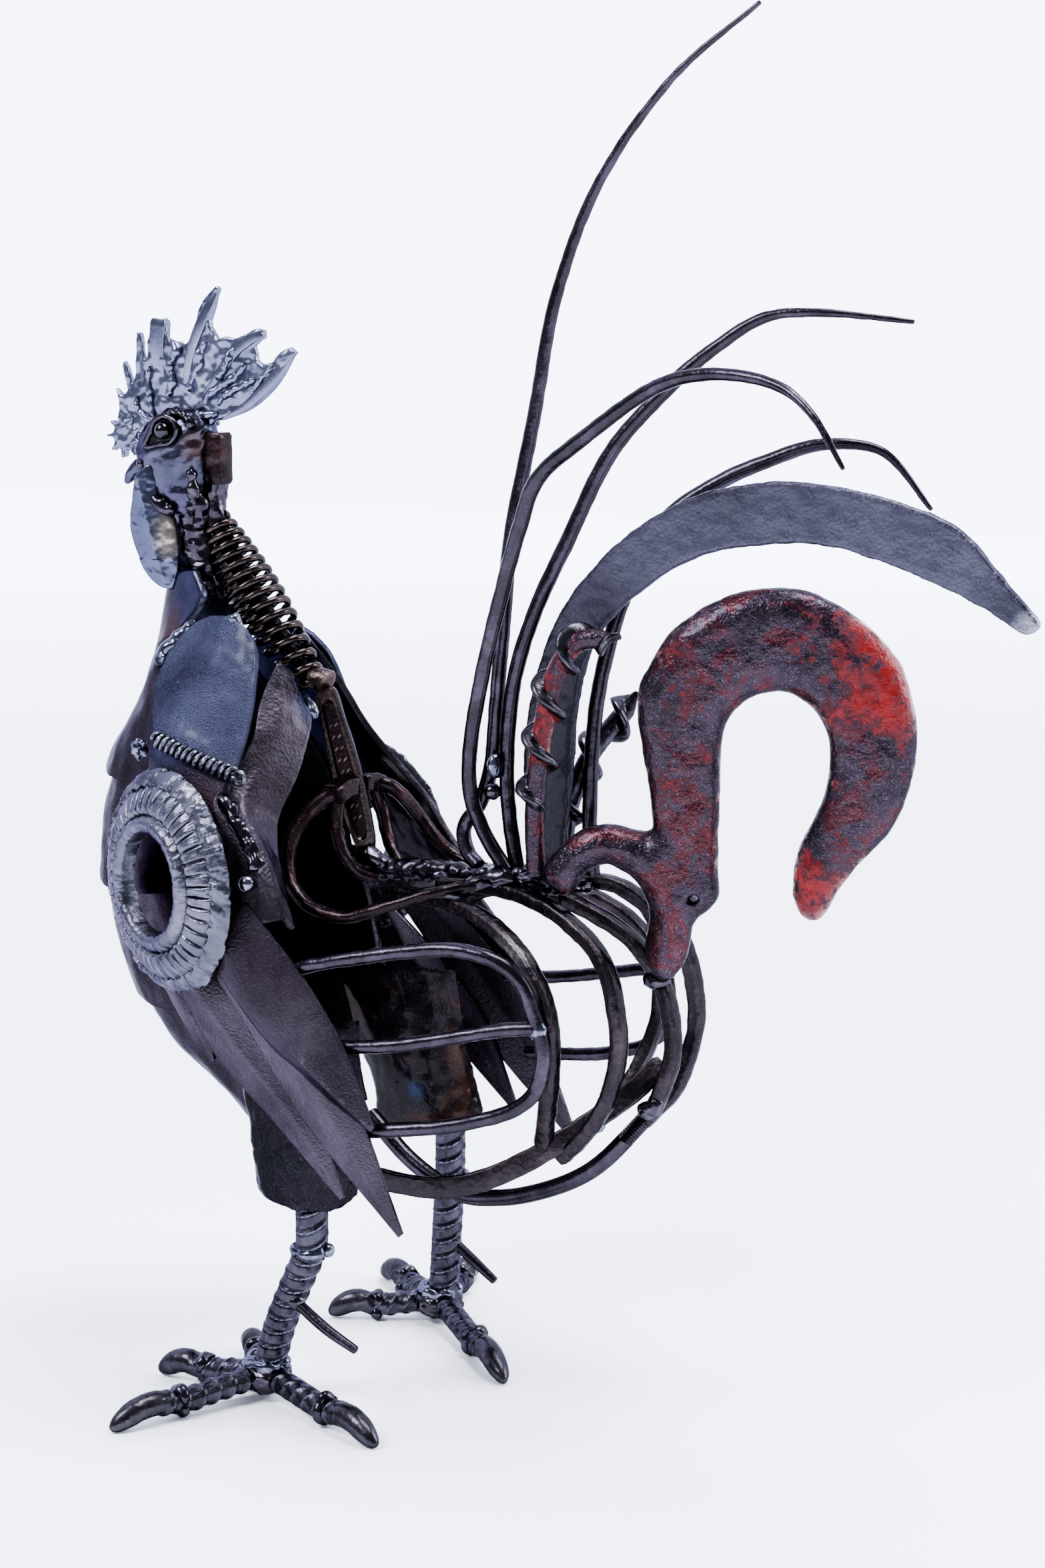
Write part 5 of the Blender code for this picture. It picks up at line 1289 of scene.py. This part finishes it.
def belly():
    """The flat tine and the round rod, threaded at its end, that close the belly."""
    tine = (
        (-100, -46, 136), (-70, -50, 127), (-39, -51, 122), (-8, -46, 121), (19, -38, 129),
        (46, -28, 145), (68, -16, 162), (82, -4, 175), (90, 10, 186),
    )
    flat = roughen(bar(tine, rounded_box(0.0050, 0.0110, 0.0014), (0, 1, 0)), 0.0004, 120)
    beads = [
        coated(bead_run([(62, -22, 156), (68, -17, 161), (74, -13, 166)], 0.0034, 5.0), dark_weld),
        coated(bead_run([(84, -6, 166), (91, -4, 167), (96, -2, 170)], 0.0038, 8.0), dark_weld),
        coated(blob(at(68, -22, 159), 0.0050, (1.2, 1, 0.9), 4), weld_steel),
    ]
    piece("belly_tine_flat", [flat] + beads, rib_steel, "belly_tine")
    line = (
        (-96, 26, 128), (-66, 20, 108), (-33, 14, 97), (-4, 8, 101), (22, 2, 110), (48, -3, 123),
        (66, -4, 137), (86, -1, 160),
    )
    thread_length, thread_pitch, thread_depth = 0.016, 0.0016, 0.0004

    def thread(run, angle, total):
        if run < total - thread_length:
            return 0.0
        return thread_depth * math.cos(TURN * run / thread_pitch - angle) - thread_depth

    screw = tube(line, 0.0045, 20, 0.0004, thread)
    nut = coated(blob(at(88, -2, 164), 0.0058, (1, 1, 0.9), 3, 0.1), dark_weld)
    piece("belly_screw", [screw, nut], rod_steel, "belly_rod")


# The legs
def thighs():
    left = (
        ((-101, -54, 116), (-101, -70, 112), (-78, -78, 108), (-56, -73, 109), (-50, -58, 114)),
        ((-104, -52, 140), (-103, -71, 138), (-78, -79, 136), (-54, -74, 138), (-48, -58, 142)),
        ((-126, -46, 204), (-116, -68, 204), (-84, -76, 206), (-60, -70, 206), (-50, -54, 206)),
    )
    right = (
        ((-117, 74, 112), (-111, 62, 109), (-83, 55, 110), (-59, 60, 118), (-53, 72, 124)),
        ((-124, 76, 140), (-116, 62, 140), (-85, 54, 142), (-65, 60, 146), (-60, 72, 148)),
        ((-150, 62, 206), (-138, 50, 208), (-104, 46, 208), (-76, 52, 206), (-66, 64, 204)),
    )
    for side, rows, coat in ((LEFT, left, thigh_steel), (RIGHT, right, rust_steel)):
        blank = sheet(rows, SHEET, (20, 14), 0.0014, 110, 0.0018, seed=side * 5)
        piece(f"thigh_{NAMES[side]}_sheet", [blank], coat, f"thigh_{NAMES[side]}")


def rebar_ribs(run, angle, total):
    """Slanted ribs across the bar and two seams along it."""
    pitch = 0.0088
    phase = (run / pitch + 0.9 * abs(math.sin(angle / 2)) * 1.2) % 1
    across = max(0.0, 1 - abs(phase - 0.5) / 0.19)
    fade = abs(math.sin(angle)) ** 0.35
    seam = max(0.0, 1 - abs(math.sin(angle)) / 0.16)
    return 0.0014 * (across * fade) ** 0.6 - 0.0004 + 0.0009 * seam


def legs():
    """Two pieces of ribbed bar a side, welded at the knee, and a nail as the spur."""
    shapes = {
        LEFT: (
            ((-100, -69, 9), (-93, -69, 34), (-86, -69, 52), (-71, -69, 84)),
            ((-71, -69, 82), (-70, -69, 100), (-73, -67, 160)),
            ((-80, -71, 56), (-60, -72.5, 45), (-41, -73, 37)),
        ),
        RIGHT: (
            ((-79, 69, 9), (-76, 69, 24), (-74, 69, 53), (-72, 69, 84)),
            ((-72, 69, 82), (-71, 68, 110), (-72, 66, 136)),
            ((-72, 70, 48), (-58, 70.5, 38), (-44, 71, 28)),
        ),
    }
    for side, (lower, upper, spur) in shapes.items():
        parts = [tube(line, LEG_BAR, 40, 0.0009, rebar_ribs) for line in (lower, upper)]
        nail = tube([p + (s,) for p, s in zip(spur, (1, 1, 0.8))], 0.0029, 14)
        head = blob(at(*spur[0]), 0.0052, (1.2, 1, 0.9), side, 0.2)
        x, y, z = lower[-1]
        knee = bead_run([(a, b, z) for a, b in circle(x, y, 7.6, 12, 1)], 0.0034, side * 3, 1.3)
        parts += [coated(nail, rod_steel), coated(head, dark_weld), coated(knee, weld_steel)]
        piece(f"leg_{NAMES[side]}_bars", parts, rebar_steel, f"leg_{NAMES[side]}")


def feet():
    """Four toes of ribbed bar a side, each with a weld at its joint and a ground claw."""
    shapes = {
        LEFT: ((-100, -69), ((-39, -81), (-66, -4), (88, -31), (-47, 51))),
        RIGHT: ((-79, 69), ((-65, 44), (-56, -27), (80, -65), (-22, 74))),
    }
    # Along a toe: a share of its length, the height of its middle and its scale.
    rises = (
        (0.00, 12.5, 1.0), (0.30, 10.0, 1.0), (0.50, 8.2, 1.0), (0.62, 8.6, 1.0), (0.72, 10.2, 1.04),
        (0.82, 9.2, 1.02), (0.90, 6.4, 0.92), (0.96, 3.8, 0.66), (1.00, 2.0, 0.28),
    )
    rib_end, claw_start, joint_share = 0.72, 0.64, 0.56

    def ribbed(run, angle, total):
        keep = max(0.0, min(1.0, (rib_end - run / total) / 0.06))
        return rebar_ribs(run, angle, total) * 0.75 * keep

    for side, (hub, toes) in shapes.items():
        parts = []
        for i, toe in enumerate(toes):
            points = [(hub[0] + toe[0] * s, hub[1] + toe[1] * s, z, scale) for s, z, scale in rises]
            bone = tube(points, TOE_BAR, 32, 0.0009, ribbed)
            centre = Vector((hub[0] + toe[0] * joint_share, hub[1] + toe[1] * joint_share, 8.4))
            across = Vector((-toe[1], toe[0], 0)).normalized()
            up = Vector((0, 0, 1))
            ring = [tuple(centre + (across * a + up * b) * 5.4) for a, b in circle(0, 0, 1, 10, 1)]
            for coat in (rebar_steel, claw_steel):
                bone.data.materials.append(coat)
            for face in bone.data.polygons:
                spread = (face.center - at(*hub, 0)).xy.length * 1000 / math.hypot(*toe)
                face.material_index = int(spread > claw_start)
            parts.append(roughen(bone, 0.0002, 200, 2, i))
            parts.append(coated(bead_run(ring, 0.0031, i + side, 1.35), dark_weld))
        lump = roughen(blob(at(*hub, 11.5), 0.0118, (1.15, 1.15, 0.85), side, 0.10, 5), 0.0008, 240, 3)
        collar = bead_run([(x, y, 18) for x, y in circle(*hub, 9, 12, 1)], 0.0034, side * 7)
        parts += [coated(lump, dark_weld), coated(collar, weld_steel)]
        for part in parts:
            for vertex in part.data.vertices:
                vertex.co.z = max(vertex.co.z, 0.0)
        piece(f"foot_{NAMES[side]}_toes", parts, rebar_steel, f"foot_{NAMES[side]}")


# The tail
def tail_rods():
    routes = {
        "tail_rod_tall": (
            (-9, -4, 279), (-17, -2, 286), (-20, 0, 298), (-11, 2, 312), (-6, 4, 332),
            (-4, 5, 360), (0, 5, 400), (4, 7, 449), (14, 12, 506), (24, 16, 564), (45, 21, 619),
            (82, 25, 667), (126, 30, 701),
        ),
        "tail_rod_upper": (
            (11, 0, 279), (6, 1, 306), (4, 2, 335), (8, 3, 376), (20, 4, 412), (34, 9, 444),
            (55, 16, 489), (84, 23, 522), (108, 28, 542), (130, 33, 555), (158, 38, 557),
            (201, 45, 553),
        ),
        "tail_rod_near": (
            (9, -7, 279), (-3, -8, 297), (-11, -9, 318), (-10, -10, 344), (-1, -12, 383),
            (10, -13, 421), (22, -17, 452), (36, -23, 478), (65, -29, 499), (105, -35, 523),
            (138, -41, 530), (172, -47, 526), (194, -54, 513), (212, -60, 490),
        ),
        "tail_rod_far": (
            (45, 18, 274), (43, 18, 310), (45, 22, 366), (56, 28, 416), (72, 35, 452),
            (98, 43, 473), (128, 50, 487), (152, 56, 494), (180, 63, 490), (202, 70, 463),
        ),
    }
    radius, tip, taper_start = 3.9, 1.2, 0.55
    for i, (name, points) in enumerate(routes.items()):
        route = []
        for j, point in enumerate(points):
            late = max(0.0, j / (len(points) - 1) - taper_start) / (1 - taper_start)
            route.append(point + (1 - (1 - tip / radius) * late ** 1.6,))
        parts = [roughen(tube(route, radius / 1000, 18, 0.0022), 0.00025, 140, 4, i)]
        if name == "tail_rod_tall":
            parts.append(coated(blob(at(2, -6, 332), 0.0048, (0.8, 1, 1.4), 5), weld_steel))
            parts.append(coated(blob(at(-2, -2, 318), 0.0044, seed=8), dark_weld))
        piece(name + "_bar", parts, rod_steel, name)


def sickle():
    outline = (
        (12, 312), (11, 335), (14, 362), (22, 390), (33, 412), (48, 431), (70, 451), (100, 468),
        (126, 476), (160, 479), (200, 474), (236, 463), (252, 450), (268, 433), (279.5, 421),
        (279.5, 416), (272, 414), (256, 423), (230, 434), (200, 444), (170, 450), (140, 448),
        (110, 442), (84, 428), (64, 412), (50, 393), (42, 366), (39, 330), (35, 296), (32, 275),
        (18, 275), (14, 292),
    )
    loop = smooth_path(outline, 3, closed=True)
    blade = plate(median_outline(loop), 0.0050, median_frame(8), 0.0012)
    blade = roughen(remeshed(blade, 0.0013, 2), 0.0005, 110, 4, 4.0)
    piece("sickle_blade", [blade], pitted_steel, "sickle")


def auger(points, coats):
    """A plain shank and a core with one thin flight wound about it; the flight has the second coat."""
    radius, core, pitch, shank, sides = 0.0105, 0.0050, 0.0260, 0.22, 60
    found, total = sampled(points, 0.0008)
    lines = carried([p for p, _, _ in found], Vector((0, 1, 0)))
    rings, reaches = [], []
    for (place, run, _), (across, above) in zip(found, lines):
        taper = 1 - 0.75 * max(0.0, run / total - 0.9) / 0.1
        cut = max(0.0, min(1.0, (run / total - shank) / 0.06))
        ring = []
        for k in range(sides):
            angle = TURN * k / sides
            turn = math.cos(angle + TURN * run / pitch)
            flight = max(0.0, (turn - 0.68) / 0.32) ** 0.6
            reach = (core + (radius - core) * flight * cut) * taper
            ring.append(place + (across * math.cos(angle) + above * math.sin(angle)) * reach)
            reaches.append(reach)
        rings.append(ring)
    bit = skin(rings)
    for coat in coats:
        bit.data.materials.append(coat)
    for face, reach in zip(bit.data.polygons, reaches):
        face.material_index = int(reach > core * 1.06)
    return roughen(bit, 0.0002, 200)


def augers():
    near = (
        (31.6, -16, 281), (30.5, -16, 303), (31, -16, 322), (33, -16, 341), (37, -16, 364), (43, -16, 384),
        (55, -16, 399), (78, -16, 403),
    )
    far = (
        (25, 20, 274), (29, 20, 305), (33, 22, 320), (38, 28, 336), (43, 34, 346), (49, 40, 355),
        (55, 46, 367),
    )
    piece("auger_left_bit", [auger(near, (auger_paint, claw_steel))], auger_paint, "auger_left", 50)
    piece("auger_right_bit", [auger(far, (rod_steel, dark_weld))], rod_steel, "auger_right", 50)


def swollen(flat, outline, thickness, reach):
    """Swells a thin plate that lies round z = 0 to a rounded section, fullest at reach from its edge."""
    rim = kdtree.KDTree(len(outline) * 4)
    for i, (a, b) in enumerate(zip(outline, outline[1:] + outline[:1])):
        for j in range(4):
            rim.insert((a[0] + (b[0] - a[0]) * j / 4, a[1] + (b[1] - a[1]) * j / 4, 0), i * 4 + j)
    rim.balance()
    half = max(v.co.z for v in flat.data.vertices)
    for vertex in flat.data.vertices:
        distance = rim.find((vertex.co.x, vertex.co.y, 0))[2]
        fullness = math.sqrt(max(0.0, 1 - (1 - min(distance / reach, 1)) ** 2))
        vertex.co.z *= (thickness / 2 * fullness + 0.0004) / half
    return flat


def hook():
    """The cast hook: a plate cut to its outline and swollen to a round section."""
    outline = (
        (-73, 281), (-70, 291), (-62, 300), (-52, 307), (-40, 310), (-28, 308), (-18, 309),
        (-20, 329), (-24, 352), (-26, 373), (-20, 390), (-8, 407), (10, 420), (30, 427), (49, 428),
        (66, 423), (82, 413), (96, 400), (105, 384), (109, 365), (109, 346), (105, 327), (96, 309),
        (83, 296), (75, 284), (69, 273), (63, 267), (55, 270), (51, 281), (53, 299), (60, 315),
        (66, 331), (68, 347), (66, 361), (58, 372), (46, 378), (33, 376), (22, 368), (16, 355),
        (15, 323), (14, 295), (15, 276), (10, 269), (3, 262), (1, 250), (-4, 238), (-12, 232),
        (-20, 239), (-21, 253), (-19, 264), (-21, 275), (-29, 285), (-40, 290), (-50, 286),
        (-55, 278), (-61, 272),
    )
    loop = [(x / 1000, z / 1000) for x, z in smooth_path(outline, 3, closed=True)]
    pin_hole = circle(0.004, 0.276, 0.0023, 20)
    flat = remeshed(plate(loop, 0.0050, Matrix.Identity(4), 0.0004, (pin_hole,)), 0.0012)
    shape = swollen(flat, loop, 0.0225, 0.0150)
    shape.data.transform(standing_frame(at(108, 0, 0), math.radians(17)))
    shape = roughen(remeshed(shape, 0.0012, 3), 0.0006, 90, 4, 2.0)
    root = coated(blob(at(92, -2, 232), 0.0060, (1.2, 1.2, 0.8), 6, 0.2), dark_weld)
    piece("cast_hook", [shape, root], hook_paint, "hook")


# Camera, lights and floor
def camera():
    data = bpy.data.cameras.new("camera")
    data.sensor_fit = "VERTICAL"
    data.sensor_height = 36
    data.lens = 64.9
    data.clip_end = 50
    obj = link("camera", data)
    back = Vector((0.4924, -0.8529, 0.1736))
    obj.location = Vector((-0.0175, 0.0282, 0.318)) + back * 1.45
    obj.rotation_euler = back.to_track_quat("Z", "Y").to_euler()
    bpy.context.scene.camera = obj


def lamp(name, place, target, size, power, colour=(1, 1, 1)):
    data = bpy.data.lights.new(name, "AREA")
    data.shape = "RECTANGLE"
    data.size, data.size_y = size
    data.energy = power
    data.color = colour
    obj = link(name, data)
    obj.location = place
    obj.rotation_euler = (Vector(place) - Vector(target)).to_track_quat("Z", "Y").to_euler()


def studio():
    world = bpy.data.worlds.new("studio")
    bpy.context.scene.world = world
    world.use_nodes = True
    nodes, links = world.node_tree.nodes, world.node_tree.links
    back = nodes["Background"]
    back.inputs["Color"].default_value = (0.76, 0.80, 1.0, 1)
    # The backdrop behind the bird is lit, and the room in front of it is darker.
    way = nodes.new("ShaderNodeVectorMath")
    way.operation = "DOT_PRODUCT"
    links.new(nodes.new("ShaderNodeTexCoord").outputs["Generated"], way.inputs[0])
    way.inputs[1].default_value = (-0.46, 0.88, -0.1)
    depth = nodes.new("ShaderNodeMapRange")
    depth.interpolation_type = "SMOOTHSTEP"
    for name, number in (("From Min", -0.1), ("From Max", 0.8), ("To Min", 0.42), ("To Max", 10)):
        depth.inputs[name].default_value = number
    links.new(way.outputs["Value"], depth.inputs["Value"])
    links.new(depth.outputs["Result"], back.inputs["Strength"])
    middle = (0, 0, 0.3)
    lamp("key", (-0.9, -1.3, 1.9), middle, (0.8, 0.8), 125, (0.84, 0.89, 1.0))
    lamp("top", (0.3, 0.2, 2.1), middle, (0.8, 0.8), 140, (0.86, 0.90, 1.0))
    lamp("rim", (1.5, 0.9, 1.2), middle, (0.6, 0.9), 65, (0.86, 0.90, 1.0))
    mesh = bpy.data.meshes.new("floor")
    bm = bmesh.new()
    bmesh.ops.create_grid(bm, x_segments=40, y_segments=40, size=5.0)
    bm.to_mesh(mesh)
    bm.free()
    floor = link("floor", mesh)
    n = Nodes("floor")
    colour = n.ramp(n.noise(3, 3), ((0.3, 0.93, 0.93, 0.98), (0.7, 0.95, 0.95, 0.99)))
    n.shader.inputs["Specular IOR Level"].default_value = 0.2
    # The far floor glows a little, so that it runs into the backdrop without a line.
    n.shader.inputs["Emission Color"].default_value = (0.80, 0.84, 1.0, 1)
    far = n.add("ShaderNodeVectorMath", operation="LENGTH")
    n.join(n.place, far.inputs[0])
    n.join(n.span(far.outputs["Value"], 0.7, 4.5, 0, 7.5), n.shader.inputs["Emission Strength"])
    floor.data.materials.append(n.finish(colour, n.span(n.noise(8), 0.3, 0.7, 0.6, 0.7), 0.0))


for build in (
    camera, studio, skull, comb, beak, eyes, wattles, nape, neck, neck_plates, shoulder_plates, breast,
    shoulder_discs, wing_blades, wing_forks, wrench, handles, back_bar, ribs, belly, thighs, legs, feet,
    tail_rods, sickle, augers, hook,
):
    build()
